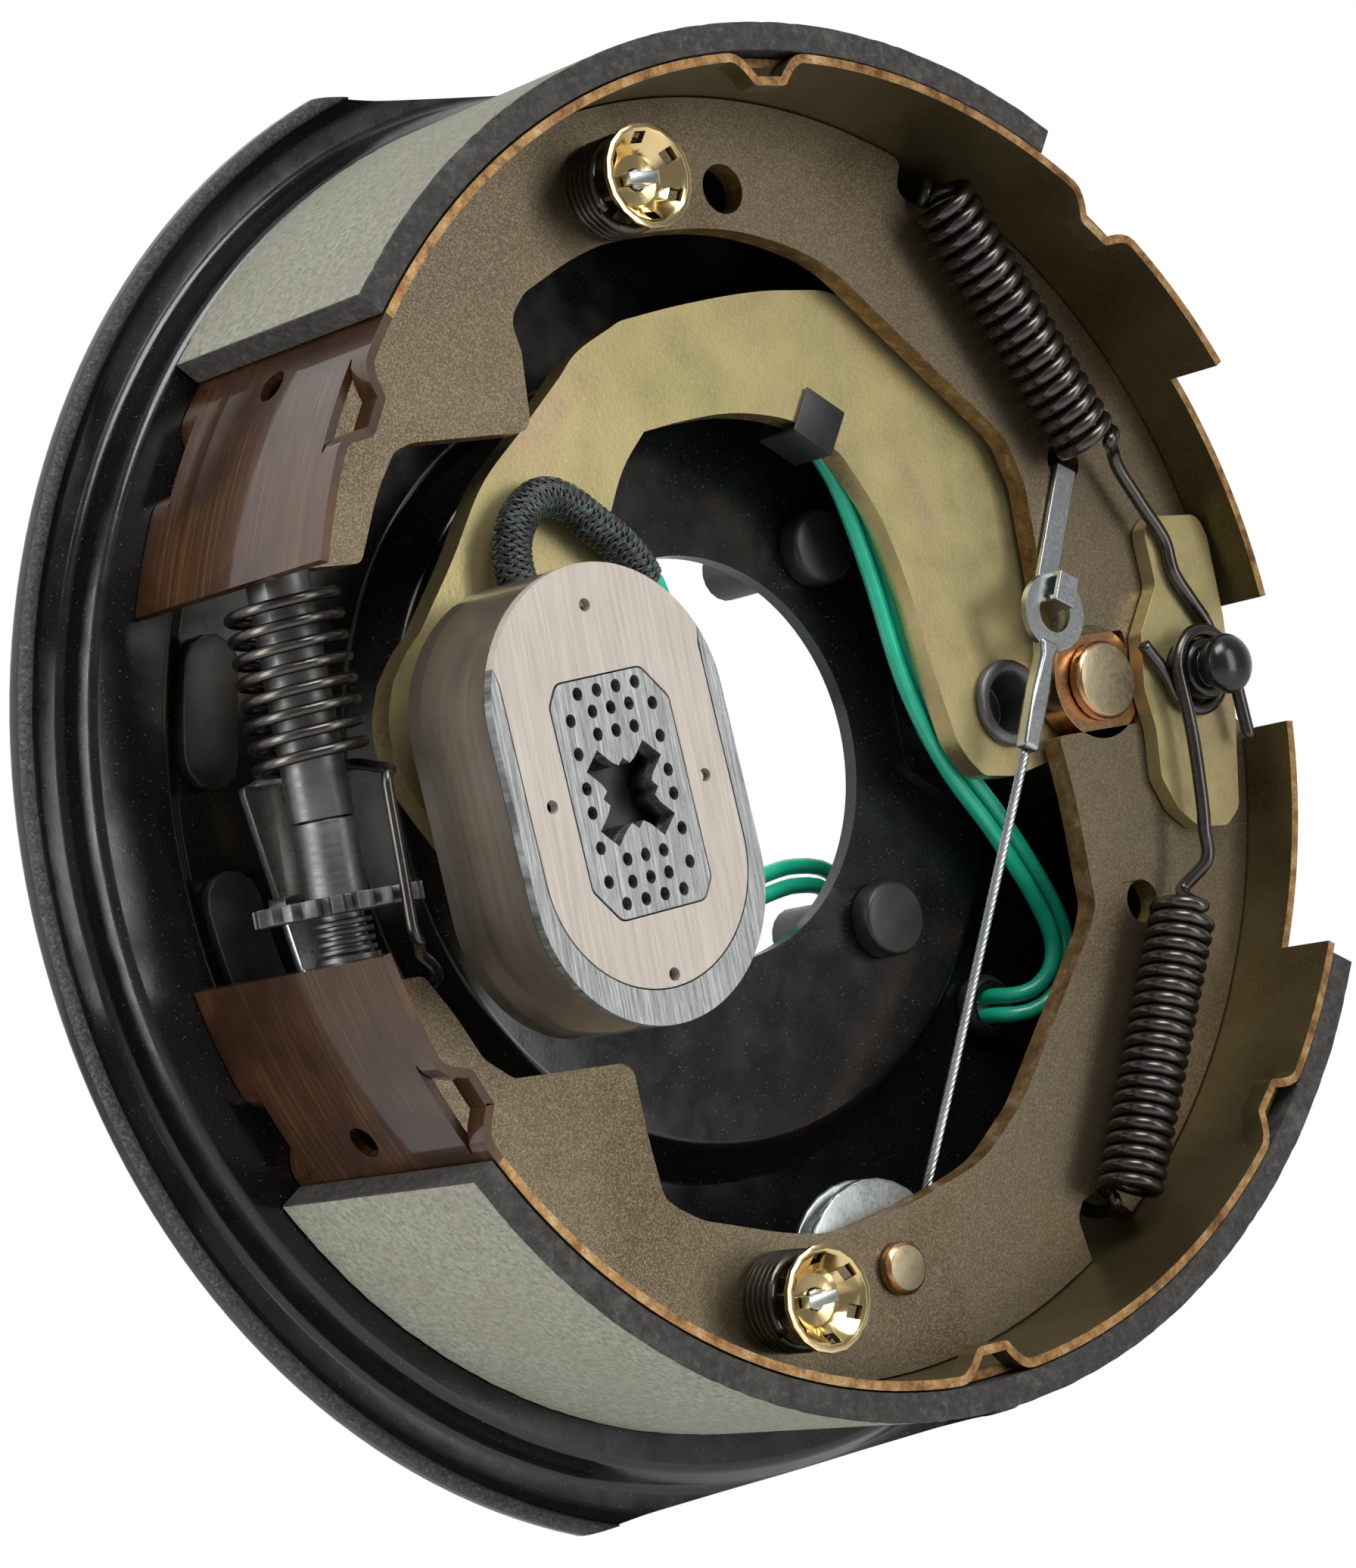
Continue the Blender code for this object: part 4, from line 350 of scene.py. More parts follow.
def rusty_edge(name, light, deep):
    """Cut edges, where the coating is thick and orange."""
    patch = (260, 4, 0.7)
    stops = [(0.34, deep), (0.55, light), (0.72, (0.45, 0.36, 0.2))]
    flecks = ((2400, 2, 0.6), 0.5, 0.72, 0.55, (0.07, 0.03, 0.01))
    return toned(name, patch, stops, flecks, None, (patch, 0.4, 0.0003), Metallic=0.55, Roughness=0.38)


SAND = (3200, 2, 0.7)
CHROMATE = (1300, 3, 0.7)
GRINDING = (0.0, math.radians(38), 0.0)
SCRATCH = (60, 4, 0.75, 0.0, (40.0, 1.0, 1.6), GRINDING)
SANDING = (70, 4, 0.65, 0.0, (18.0, 1.0, 0.7), (0.0, math.radians(-4), 0.0))
FACE_GRAIN, SIDE_GRAIN = (900, 5, 0.75), (700, 5, 0.75)
SHEAR = (1500, 4, 0.75)
TABLE_GRAIN = (2600, 2, 0.6)

M = {
    "black_paint": gloss_black(),
    # Near-black steel; on the magnet socket this darkness is painted shade.
    "black_steel": metal("black steel", (0.022, 0.023, 0.024), 0.36, (0.04, 0.04, 0.04), metallic=0.5),
    "olive_zinc": toned(
        "olive zinc",
        (28, 4, 0.55, 0.4),
        [(0.32, (0.095, 0.066, 0.032)), (0.5, (0.135, 0.102, 0.06)), (0.68, (0.115, 0.092, 0.055))],
        (SAND, 0.44, 0.68, 0.7, (0.31, 0.265, 0.19)),
        (SAND, 0.35, 0.65, 0.48, 0.34),
        (SAND, 0.35, 0.00016),
        Metallic=0.85,
    ),
    "lining": toned(
        "lining face",
        FACE_GRAIN,
        [(0.32, (0.125, 0.128, 0.098)), (0.5, (0.23, 0.232, 0.185)), (0.7, (0.34, 0.34, 0.28))],
        ((50, 3, 0.5), 0.35, 0.7, 0.4, (0.20, 0.195, 0.155)),
        bump=(FACE_GRAIN, 0.55, 0.0003),
        Roughness=0.9,
        Specular_IOR_Level=0.25,
    ),
    "yellow_zinc": toned(
        "pale yellow zinc",
        (38, 4, 0.55, 0.6),
        [
            (0.30, (0.29, 0.26, 0.11)),
            (0.44, (0.38, 0.32, 0.145)),
            (0.56, (0.42, 0.345, 0.16)),
            (0.66, (0.40, 0.29, 0.165)),
            (0.78, (0.29, 0.27, 0.125)),
        ],
        (CHROMATE, 0.4, 0.7, 0.3, (0.50, 0.45, 0.27)),
        ((90, 3, 0.6), 0.3, 0.7, 0.3, 0.46),
        (CHROMATE, 0.3, 0.00015),
        Metallic=0.7,
    ),
    "gold_zinc": metal("gold zinc", (0.74, 0.59, 0.30), 0.15, (0.68, 0.50, 0.24), 700, 0.05),
    "bright_zinc": metal("bright zinc", (0.36, 0.385, 0.385), 0.3, (0.47, 0.49, 0.485), 1300, 0.2),
    "spring_steel": metal(
        "spring steel", (0.068, 0.063, 0.058), 0.25, (0.095, 0.086, 0.078), 700, 0.04, 0.95
    ),
    "grey_steel": metal(
        "grey steel", (0.095, 0.097, 0.098), 0.42, (0.14, 0.14, 0.14), 40, 0.25, 0.9, (1, 1, 40)
    ),
    "smoky_resin": toned(
        "smoky resin",
        (60, 4, 0.6),
        [(0.35, (0.62, 0.55, 0.46)), (0.65, (0.74, 0.68, 0.59))],
        gloss=((900, 3, 0.7), 0.3, 0.7, 0.07, 0.2),
        bump=((500, 3, 0.6), 0.12, 0.0002),
        Transmission_Weight=0.93,
        IOR=1.42,
    ),
    "friction_pad": toned(
        "friction pad",
        SANDING,
        [(0.3, (0.355, 0.305, 0.26)), (0.5, (0.41, 0.36, 0.315)), (0.7, (0.47, 0.425, 0.38))],
        ((45, 4, 0.6), 0.5, 0.72, 0.4, (0.50, 0.46, 0.40)),
        bump=(SANDING, 0.2, 0.0001),
        Roughness=0.42,
        Specular_IOR_Level=0.5,
    ),
    "ground_steel": toned(
        "ground steel",
        SCRATCH,
        [(0.34, (0.15, 0.16, 0.155)), (0.5, (0.32, 0.335, 0.325)), (0.66, (0.55, 0.56, 0.55))],
        ((40, 2, 0.5, 0.0, (12.0, 1.0, 0.8), GRINDING), 0.35, 0.65, 0.4, (0.27, 0.28, 0.29)),
        (SCRATCH, 0.3, 0.7, 0.3, 0.5),
        (SCRATCH, 0.5, 0.00025),
        Metallic=0.85,
    ),
    "rubber": toned(
        "black rubber",
        (120, 4, 0.6),
        [(0.35, (0.006, 0.006, 0.006)), (0.7, (0.03, 0.03, 0.029))],
        bump=((1600, 3, 0.6), 0.3, 0.0002),
        Roughness=0.42,
        Specular_IOR_Level=0.4,
    ),
    "braid": toned(
        "braided sleeve",
        (330, 3, 0.6),
        [(0.35, (0.012, 0.013, 0.013)), (0.6, (0.05, 0.055, 0.053)), (0.75, (0.11, 0.12, 0.115))],
        ((600, 2, 0.5), 0.62, 0.7, 0.8, (0.02, 0.22, 0.13)),
        Roughness=0.38,
        Specular_IOR_Level=0.6,
    ),
    "green_lead": toned(
        "green lead",
        (90, 3, 0.5),
        [(0.35, (0.008, 0.36, 0.215)), (0.65, (0.013, 0.47, 0.29))],
        bump=((700, 2, 0.5), 0.1, 0.0002),
        Roughness=0.32,
        Coat_Weight=0.2,
    ),
}
SHEARED = toned(
    "sheared painted edge",
    SHEAR,
    [(0.4, (0.012, 0.012, 0.012)), (0.6, (0.06, 0.06, 0.058)), (0.75, (0.2, 0.2, 0.19))],
    bump=(SHEAR, 0.7, 0.0006),
    Roughness=0.5,
    Specular_IOR_Level=0.4,
)
WEB_EDGE = rusty_edge("web edge", (0.26, 0.155, 0.06), (0.13, 0.065, 0.022))
TABLE_SKIN = toned(
    "olive table zinc",
    (34, 4, 0.6, 0.6, (1.0, 0.35, 1.0)),
    [(0.32, (0.075, 0.058, 0.024)), (0.5, (0.115, 0.092, 0.042)), (0.7, (0.16, 0.135, 0.07))],
    (TABLE_GRAIN, 0.5, 0.72, 0.45, (0.26, 0.22, 0.13)),
    bump=(TABLE_GRAIN, 0.25, 0.00012),
    Metallic=0.8,
    Roughness=0.36,
)
TABLE_EDGE = rusty_edge("table edge", (0.36, 0.2, 0.07), (0.12, 0.05, 0.015))
ARM_EDGE = metal("arm edge", (0.54, 0.41, 0.19), 0.28, (0.42, 0.34, 0.16), 900, 0.1, 0.85)
BRASS = metal("pin head", (0.36, 0.29, 0.185), 0.38, (0.29, 0.25, 0.16), 900, 0.3)
COPPER = metal("pin rim", (0.62, 0.34, 0.17), 0.24, (0.5, 0.3, 0.16), 900, 0.15)
LACQUER = lacquer()
SIDE = toned(
    "lining side",
    SIDE_GRAIN,
    [(0.3, (0.016, 0.015, 0.013)), (0.55, (0.042, 0.039, 0.035)), (0.75, (0.10, 0.095, 0.085))],
    ((120, 4, 0.7), 0.55, 0.75, 0.5, (0.11, 0.105, 0.095)),
    bump=(SIDE_GRAIN, 0.8, 0.0005),
    Roughness=0.8,
    Specular_IOR_Level=0.35,
)
WINDING = toned(
    "taped winding",
    (20, 2, 0.4, 0.0, (1.0, 40.0, 1.0)),
    [(0.35, (0.05, 0.04, 0.03)), (0.55, (0.16, 0.135, 0.105)), (0.7, (0.30, 0.26, 0.21))],
    Roughness=0.4,
)


# Making pieces
def new_object(name, data):
    obj = bpy.data.objects.new(name, data)
    bpy.context.scene.collection.objects.link(obj)
    return obj


def shell_object(name, shell):
    """The object of a bmesh, which goes."""
    mesh = bpy.data.meshes.new(name)
    shell.to_mesh(mesh)
    shell.free()
    return new_object(name, mesh)


def shade(obj, smooth=True):
    for poly in obj.data.polygons:
        poly.use_smooth = smooth


def mesh_of(obj):
    """The evaluated mesh of an object as an object of its own; the first goes."""
    bpy.context.view_layer.update()
    graph = bpy.context.evaluated_depsgraph_get()
    mesh = bpy.data.meshes.new_from_object(obj.evaluated_get(graph))
    mesh.transform(obj.matrix_world)
    shell = bmesh.new()
    shell.from_mesh(mesh)
    bmesh.ops.remove_doubles(shell, verts=shell.verts, dist=WELD)
    bmesh.ops.recalc_face_normals(shell, faces=shell.faces)
    shell.to_mesh(mesh)
    shell.free()
    made = new_object(obj.name, mesh)
    bpy.data.objects.remove(obj, do_unlink=True)
    return made


def soften(obj, width, segments=3, angle=38):
    """Rounded edges and smooth shading that keeps flat faces flat."""
    shade(obj)
    bevel = obj.modifiers.new("edge", "BEVEL")
    bevel.width = width
    bevel.segments = segments
    bevel.limit_method = "ANGLE"
    bevel.angle_limit = math.radians(angle)
    bevel.harden_normals = True
    return bevel


def stand_for(obj, node, *materials, others=()):
    """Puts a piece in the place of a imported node: its body, slot and name."""
    obj.name = node + "_fine"
    obj.data.name = obj.name
    if materials:
        obj.data.materials.clear()
        for mat in materials:
            obj.data.materials.append(mat)
    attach(obj, body_of(NODES[node])[0])
    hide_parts(node, *others)
    return obj


def point(centre, radius, degrees):
    angle = math.radians(degrees)
    return (centre[0] + radius * math.cos(angle), centre[1] + radius * math.sin(angle))


def arc(centre, radius, start, end, count):
    step = (end - start) / count
    return [point(centre, radius, start + step * i) for i in range(count + 1)]


def circle(centre, radius, count=32):
    return arc(centre, radius, 0, 360 - 360 / count, count - 1)


def rounded(corners, radius, count=4):
    """An outline whose corners are rounded, within half of each side."""
    made = []
    total = len(corners)
    for i, corner in enumerate(corners):
        here = Vector(corner)
        before = Vector(corners[i - 1]) - here
        after = Vector(corners[(i + 1) % total]) - here
        half = before.angle(after) / 2
        if half > math.radians(88):
            made.append(tuple(here))
            continue
        reach = min(radius / math.tan(half), before.length * 0.45, after.length * 0.45)
        first = here + before.normalized() * reach
        last = here + after.normalized() * reach
        bisector = (before.normalized() + after.normalized()).normalized()
        middle = here + bisector * (reach / math.cos(half))
        spoke_from = first - middle
        turn = spoke_from.angle_signed(last - middle)
        for k in range(count + 1):
            spoke = spoke_from.copy()
            spoke.rotate(Matrix.Rotation(-turn * k / count, 2))
            made.append(tuple(middle + spoke))
    return made


def rims(node):
    """The outlines of a packed flat node's front face, as loops of (x, z)."""
    shell = bmesh.new()
    shell.from_mesh(NODES[node].data)
    bmesh.ops.remove_doubles(shell, verts=shell.verts, dist=WELD)
    front = min(v.co.y for v in shell.verts) + 0.00002
    face = {f for f in shell.faces if all(v.co.y < front for v in f.verts)}
    edges = [e for e in shell.edges if sum(f in face for f in e.link_faces) == 1]
    links = {}
    for edge in edges:
        for vert in edge.verts:
            links.setdefault(vert.index, []).append(edge.other_vert(vert))
    spots = {v.index: (v.co.x, v.co.z) for v in shell.verts}
    left = set(links)
    loops = []
    while left:
        start = here = min(left)
        before = None
        loop = []
        while True:
            loop.append(spots[here])
            left.discard(here)
            ways = [v.index for v in links[here] if v.index != before]
            before, here = here, ways[0]
            if here == start:
                break
        loops.append(loop)
    shell.free()
    loops.sort(key=len, reverse=True)
    return loops


def even_circle(loop):
    """The centre and radius of a loop that is a regular ring, or None."""
    x = sum(p[0] for p in loop) / len(loop)
    z = sum(p[1] for p in loop) / len(loop)
    radii = [math.hypot(p[0] - x, p[1] - z) for p in loop]
    if len(loop) > 5 and max(radii) < 1.02 * min(radii):
        return (x, z), sum(radii) / len(radii)
    return None


def smoothed(loop):
    """A loop on a smooth curve through its points, with its corners kept."""
    step, corner = 0.0012, math.radians(31.0)
    ring = even_circle(loop)
    if ring:
        return circle(ring[0], ring[1], max(16, round(2 * math.pi * ring[1] / step)))
    points = [Vector(p) for p in loop]
    total = len(points)
    ways = []
    for i, here in enumerate(points):
        back = here - points[i - 1]
        on = points[(i + 1) % total] - here
        if back.angle(on) > corner:
            ways.append((back.normalized(), on.normalized()))
        elif back.length > 2.2 * on.length:
            ways.append((back.normalized(), back.normalized()))
        elif on.length > 2.2 * back.length:
            ways.append((on.normalized(), on.normalized()))
        else:
            mean = (back.normalized() + on.normalized()).normalized()
            ways.append((mean, mean))
    made = []
    for i, here in enumerate(points):
        there = points[(i + 1) % total]
        span = (there - here).length
        a = ways[i][1] * span
        b = ways[(i + 1) % total][0] * span
        straight = abs(a.angle(there - here)) < 0.004 and abs(b.angle(there - here)) < 0.004
        count = 1 if straight else max(1, round(span / step))
        for k in range(count):
            t = k / count
            from_ends = here * (2 * t**3 - 3 * t**2 + 1) + a * (t**3 - 2 * t**2 + t)
            made.append(tuple(from_ends + there * (3 * t**2 - 2 * t**3) + b * (t**3 - t**2)))
    return made


def cut(name, loops, front, back):
    """A flat solid cut to outlines, from front to back in Y."""
    curve = bpy.data.curves.new(name, "CURVE")
    curve.dimensions = "2D"
    curve.fill_mode = "BOTH"
    curve.extrude = (back - front) / 2
    for loop in loops:
        spline = curve.splines.new("POLY")
        spline.points.add(len(loop) - 1)
        for place, (x, z) in zip(spline.points, loop):
            place.co = (x, z, 0.0, 1.0)
        spline.use_cyclic_u = True
    obj = new_object(name, curve)
    obj.rotation_euler = (math.pi / 2, 0.0, 0.0)
    obj.location = (0.0, (front + back) / 2, 0.0)
    return mesh_of(obj)


def flat_piece(node, width, *materials):
    """A finer copy of a packed flat node; a second material is for its edges."""
    low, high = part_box(node)
    obj = cut(node, [smoothed(loop) for loop in rims(node)], low[1], high[1])
    stand_for(obj, node, *materials)
    bevel = soften(obj, width)
    if len(materials) > 1:
        bevel.material = 1
        for poly in obj.data.polygons:
            if abs(poly.normal.y) < 0.5:
                poly.material_index = 1


def skin(name, rows, endless=False, open_rows=False):
    """A mesh over rows of points, closed at its ends or led back to its start."""
    shell = bmesh.new()
    rows = [[shell.verts.new(spot) for spot in row] for row in rows]
    total = len(rows[0])
    for here, there in zip(rows, rows[1:] + rows[:1] if endless else rows[1:]):
        for i in range(total - 1 if open_rows else total):
            j = (i + 1) % total
            shell.faces.new((here[i], here[j], there[j], there[i]))
    if endless:
        bmesh.ops.remove_doubles(shell, verts=shell.verts, dist=WELD)
    else:
        shell.faces.new(rows[0])
        shell.faces.new(rows[-1])
    bmesh.ops.recalc_face_normals(shell, faces=shell.faces)
    return shell_object(name, shell)


def turned(name, profile, centre, steps=64, closed=False):
    """A turned piece about a Y axis, from a profile of (radius, y)."""
    rows = []
    for k in range(steps):
        c, s = math.cos(2 * math.pi * k / steps), math.sin(2 * math.pi * k / steps)
        rows.append([(centre[0] + r * c, y, centre[1] + r * s) for r, y in profile])
    obj = skin(name, rows, True, not closed)
    shade(obj)
    return obj


def wires(name, paths, radius, rounds=5):
    """Round wires on their points, as one object with closed ends."""
    curve = bpy.data.curves.new(name, "CURVE")
    curve.dimensions = "3D"
    curve.bevel_depth = radius
    curve.bevel_resolution = rounds
    curve.use_fill_caps = True
    for points in paths:
        spline = curve.splines.new("POLY")
        spline.points.add(len(points) - 1)
        for place, co in zip(spline.points, points):
            place.co = (*co, 1.0)
    return mesh_of(new_object(name, curve))


def smooth_path(route, step):
    """Points about a step apart on a smooth curve through the route."""
    route = [Vector(p) for p in route]
    ends = [2 * route[0] - route[1], *route, 2 * route[-1] - route[-2]]
    made = []
    for a, b, c, d in zip(ends, ends[1:], ends[2:], ends[3:]):
        count = max(1, round((c - b).length / step))
        for k in range(count):
            t = k / count
            square, cube = 2 * a - 5 * b + 4 * c - d, 3 * b - a - 3 * c + d
            made.append(0.5 * (2 * b + (c - a) * t + square * t * t + cube * t**3))
    made.append(route[-1])
    return made


def beside(path, side, distance):
    """The path moved sideways by a distance, in the XZ plane where it can be."""
    made = []
    side = Vector(side)
    for i, here in enumerate(path):
        ahead = path[min(i + 1, len(path) - 1)] - path[max(i - 1, 0)]
        ahead.normalize()
        across = ahead.cross((0, 1, 0))
        if across.length > 0.5:
            side = across if across.dot(side) > 0 else -across
        side = (side - ahead * side.dot(ahead)).normalized()
        made.append(here + side * distance)
    return made


def coil(start, end, radius, turns, per_turn=18, reference=(0, 1, 0)):
    """The points of a coil from start to end."""
    start, end = Vector(start), Vector(end)
    along = (end - start).normalized()
    u = Vector(reference)
    u = (u - along * u.dot(along)).normalized()
    v = along.cross(u)
    count = round(turns * per_turn)
    made = []
    for i in range(count + 1):
        angle = 2 * math.pi * turns * i / count
        centre = start.lerp(end, i / count)
        made.append(centre + (u * math.cos(angle) + v * math.sin(angle)) * radius)
    return made


def frames(path):
    """A frame that twists as little as it can, at each point of a path."""
    made = []
    u = Vector((0.3, 0.5, 0.8))
    for i in range(len(path)):
        ahead = (path[min(i + 1, len(path) - 1)] - path[max(i - 1, 0)]).normalized()
        u = (u - ahead * u.dot(ahead)).normalized()
        made.append((path[i], u, ahead.cross(u)))
    return made


def cutter(obj, target):
    """A tool that cuts its target once, and goes."""
    step = target.modifiers.new("cut", "BOOLEAN")
    step.operation = "DIFFERENCE"
    step.solver = "EXACT"
    step.object = obj
    made = mesh_of(target)
    bpy.data.objects.remove(obj, do_unlink=True)
    return made


def joined(objects):
    """Several mesh objects as one."""
    shell = bmesh.new()
    for obj in objects:
        shell.from_mesh(obj.data)
        bpy.data.objects.remove(obj, do_unlink=True)
    return shell_object("joined", shell)


def mirrored(line):
    """A line of points (x, z), and back again below the X axis."""
    return line + [(x, -z) for x, z in reversed(line)]


def ride_with(obj, name, node, mat):
    """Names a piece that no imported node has, and lets it ride with a node's body."""
    obj.name = name
    obj.data.materials.append(mat)
    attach(obj, body_of(NODES[node])[0])


def plug(radius, front, back, centre, steps=48):
    return turned("plug", [(0.0, front), (radius, front), (radius, back), (0.0, back)], centre, steps)


# Backing plate
HOLLOW_CORNERS = [(0.0535, 0.0065), (0.0690, 0.0190), (0.0850, 0.0160), (BOSS_END - PLATE_T, 0.0110)]
HOLLOW = [rounded(mirrored(HOLLOW_CORNERS), 0.003)]
HOLLOW_BACK = REAR_Y + 0.004
PLATE_CENTRE = (0.0, RIM_Z)
THROUGH_FLOOR = (FLOOR_Y - FAR_PAST, REAR_Y + PAST)


def backing_plate():
    """The pressed plate, with its holes, flats and ragged sheared lip."""
    rim_in = RIM_R - 2 * BEND
    line = [
        (RIM_R, CHANNEL_Y - RIM_LIP),
        (RIM_R, CHANNEL_Y - 0.0010),
        (RIM_R - 0.0035, CHANNEL_Y + PLATE_T),
        (LEDGE_R_OUT + BEND, CHANNEL_Y + PLATE_T),
        (LEDGE_R_OUT - BEND, LEDGE_Y + PLATE_T),
        (LEDGE_R_IN + BEND, LEDGE_Y + PLATE_T),
        (LEDGE_R_IN - BEND, FLOOR_Y + PLATE_T),
        (PLATEAU_R + 0.0040, FLOOR_Y + PLATE_T),
        (PLATEAU_R - BEND, 0.0),
        (HUB_R - 2 * BEND, 0.0),
        (HUB_R - 2 * BEND, PLATEAU_Y),
        (PLATEAU_R, PLATEAU_Y),
        (PLATEAU_R + 0.0055, FLOOR_Y),
        (LEDGE_R_IN - 2 * BEND, FLOOR_Y),
        (LEDGE_R_IN, LEDGE_Y),
        (LEDGE_R_OUT, LEDGE_Y),
        (LEDGE_R_OUT + 2 * BEND, CHANNEL_Y),
        (rim_in - 0.0028, CHANNEL_Y),
        (rim_in, CHANNEL_Y - 0.0024),
        (rim_in, CHANNEL_Y - RIM_LIP),
    ]
    soft = rounded(line, 0.0022, 4)
    plate = turned("plate", soft, PLATE_CENTRE, 192, closed=True)
    holes = [plug(HUB_R, PLATEAU_Y - PAST, PAST, (0.0, 0.0), 128)]
    holes += [plug(STUD_R + GAP, PLATEAU_Y - PAST, PAST, spot) for spot in STUDS]
    holes += [plug(HOLD_BORE_R, *THROUGH_FLOOR, spot, 24) for spot in (HOLD_UP, HOLD_LOW)]
    holes.append(cut("hollow", HOLLOW, 0.0001, HOLLOW_BACK))
    holes.append(plug(GROMMET_BORE, *THROUGH_FLOOR, GROMMET, 32))
    wide = SLOT_HALF + GAP
    for start, end in SLOTS:
        outer = arc(PLATE_CENTRE, SLOT_RING_R + SLOT_HALF + GAP, start, end, 12)
        inner = arc(PLATE_CENTRE, SLOT_RING_R - SLOT_HALF - GAP, end, start, 12)
        far_end = arc(point(PLATE_CENTRE, SLOT_RING_R, end), wide, end, end + 180, 12)[1:-1]
        near_end = arc(point(PLATE_CENTRE, SLOT_RING_R, start), wide, start + 180, start + 360, 12)[1:-1]
        holes.append(cut("slot", [outer + far_end + inner + near_end], *THROUGH_FLOOR))
    for sign in (1, -1):
        edge = RIM_Z + sign * FLAT_H
        far = RIM_Z + sign * (RIM_R + FLAT_PAST)
        corners = [(-RIM_R, edge), (RIM_R, edge), (RIM_R, far), (-RIM_R, far)]
        holes.append(cut("flat", [corners], LEDGE_Y - FLAT_PAST, CHANNEL_Y + FLAT_PAST))
    plate = cutter(joined(holes), plate)
    lip = CHANNEL_Y - RIM_LIP

    def on_lip(spot, depth, reach):
        radius = math.hypot(spot.x, spot.z - RIM_Z)
        return spot.y < lip + depth and radius > rim_in - reach

    for vert in plate.data.vertices:
        if on_lip(vert.co, 0.0014, 0.0008):
            vert.co.y += 0.00022 + 0.00022 * noise.noise(vert.co * 260.0)
    stand_for(plate, "backing_plate", M["black_paint"], SHEARED)
    for poly in plate.data.polygons:
        if on_lip(poly.center, 0.0012, 0.0006) and poly.normal.y < -0.2:
            poly.material_index = 1
    soften(plate, 0.00045, 2, 42)


def pressed_boss():
    """The raised pad on the plate, with an eased rim, and its bores."""
    top = PLATEAU_Y - BOSS_RISE
    corners = [(0.0498, 0.0085), (0.0560, 0.0130), (0.0690, 0.0240), (0.0860, 0.0190), (BOSS_END, 0.0130)]
    boss = cut("boss", [rounded(mirrored(corners), 0.0045, 6)], top, FLOOR_Y + 0.0015)
    bore = (top - PAST, top + PLATE_T - 0.0001)
    bores = [plug(POST_R + GAP, *bore, POST), plug(PIVOT_BORE_R, *bore, PIVOT, 32)]
    boss = cutter(cut("hollow", HOLLOW, top + PLATE_T, HOLLOW_BACK), boss)
    boss = cutter(joined(bores), boss)
    ride_with(boss, "pressed_boss", "backing_plate", M["black_paint"])
    soften(boss, 0.0013, 5)


backing_plate()
pressed_boss()


# Shoes
def crimp(degrees, depth_in, crimps):
    """How far a table is pushed in, at an angle and a distance from an edge."""
    if depth_in > LANCE_W + LANCE_SLIT / 2:
        return 0.0
    for centre in crimps:
        off = abs(degrees - centre) / CRIMP_HALF
        if off < 1.0:
            return CRIMP_DEPTH * min(1.0, 1.6 * (0.5 + 0.5 * math.cos(math.pi * off)))
    return 0.0


def facing_out(poly, centre):
    """The angle at which a face lies about a centre, and how far it faces out."""
    x, z = poly.center.x - centre[0], poly.center.z - centre[1]
    around = math.degrees(math.atan2(z, x))
    return around, (poly.normal.x * x + poly.normal.z * z) / math.hypot(x, z)


def table(node, centre, ends, crimps, heel, hole, toe_side):
    """A shoe table, lanced at both edges, with a lacquered toe."""
    stops = {ends[0], ends[1], heel, hole[0]}
    for middle in crimps:
        stops.update(middle + CRIMP_HALF * k / 9 for k in range(-9, 10))
    stops = sorted(stops)
    angles = []
    for a, b in zip(stops, stops[1:]):
        count = max(1, math.ceil((b - a) / 1.25))
        angles += [a + (b - a) * k / count for k in range(count)]
    angles.append(stops[-1])
    edge = [0.0, LANCE_W / 2, LANCE_W, LANCE_W + LANCE_SLIT]
    across = sorted({*edge, HEEL_CUT, *(SHOE_W - d for d in edge)})
    shell = bmesh.new()
    grid = {}
    for i, degrees in enumerate(angles):
        for j, depth in enumerate(across):
            radius = TABLE_IN - crimp(degrees, min(depth, SHOE_W - depth), crimps)
            x, z = point(centre, radius, degrees)
            grid[i, j] = shell.verts.new((x, SHOE_FRONT + depth, z))
    for i in range(len(angles) - 1):
        for j in range(len(across) - 1):
            degrees = (angles[i] + angles[i + 1]) / 2
            depth = (across[j] + across[j + 1]) / 2
            depth_in = min(depth, SHOE_W - depth)
            lanced = any(abs(degrees - middle) < CRIMP_HALF for middle in crimps)
            if lanced and LANCE_W < depth_in < LANCE_W + LANCE_SLIT:
                continue
            if abs(degrees) < abs(heel) and depth < HEEL_CUT:
                continue
            shell.faces.new((grid[i, j], grid[i + 1, j], grid[i + 1, j + 1], grid[i, j + 1]))
    bmesh.ops.delete(shell, geom=[v for v in shell.verts if not v.link_faces], context="VERTS")
    obj = shell_object(node, shell)
    face = obj.data.polygons[len(obj.data.polygons) // 2]
    outward = face.normal.dot(face.center - Vector((centre[0], 0.0, centre[1])))
    skin = obj.modifiers.new("thickness", "SOLIDIFY")
    skin.thickness = TABLE_T
    skin.offset = 1.0 if outward > 0 else -1.0
    obj = mesh_of(obj)
    drill = plug(TABLE_HOLE_R, -DRILL_HALF, DRILL_HALF, (0.0, 0.0), 24)
    x, z = point(centre, TABLE_IN, hole[0])
    out_of_y = Matrix.Rotation(math.pi / 2, 4, "X")
    outwards = Matrix.Rotation(math.pi / 2 - math.radians(hole[0]), 4, "Y")
    drill.data.transform(Matrix.Translation((x, SHOE_FRONT + hole[1], z)) @ outwards @ out_of_y)
    obj = cutter(drill, obj)
    stand_for(obj, node, TABLE_SKIN, TABLE_EDGE, LACQUER)
    for poly in obj.data.polygons:
        around, facing = facing_out(poly, centre)
        if abs(around) > abs(toe_side) and facing > -0.3:
            poly.material_index = 2
        elif abs(facing) < 0.5:
            poly.material_index = 1
    soften(obj, 0.0003, 2, 50)


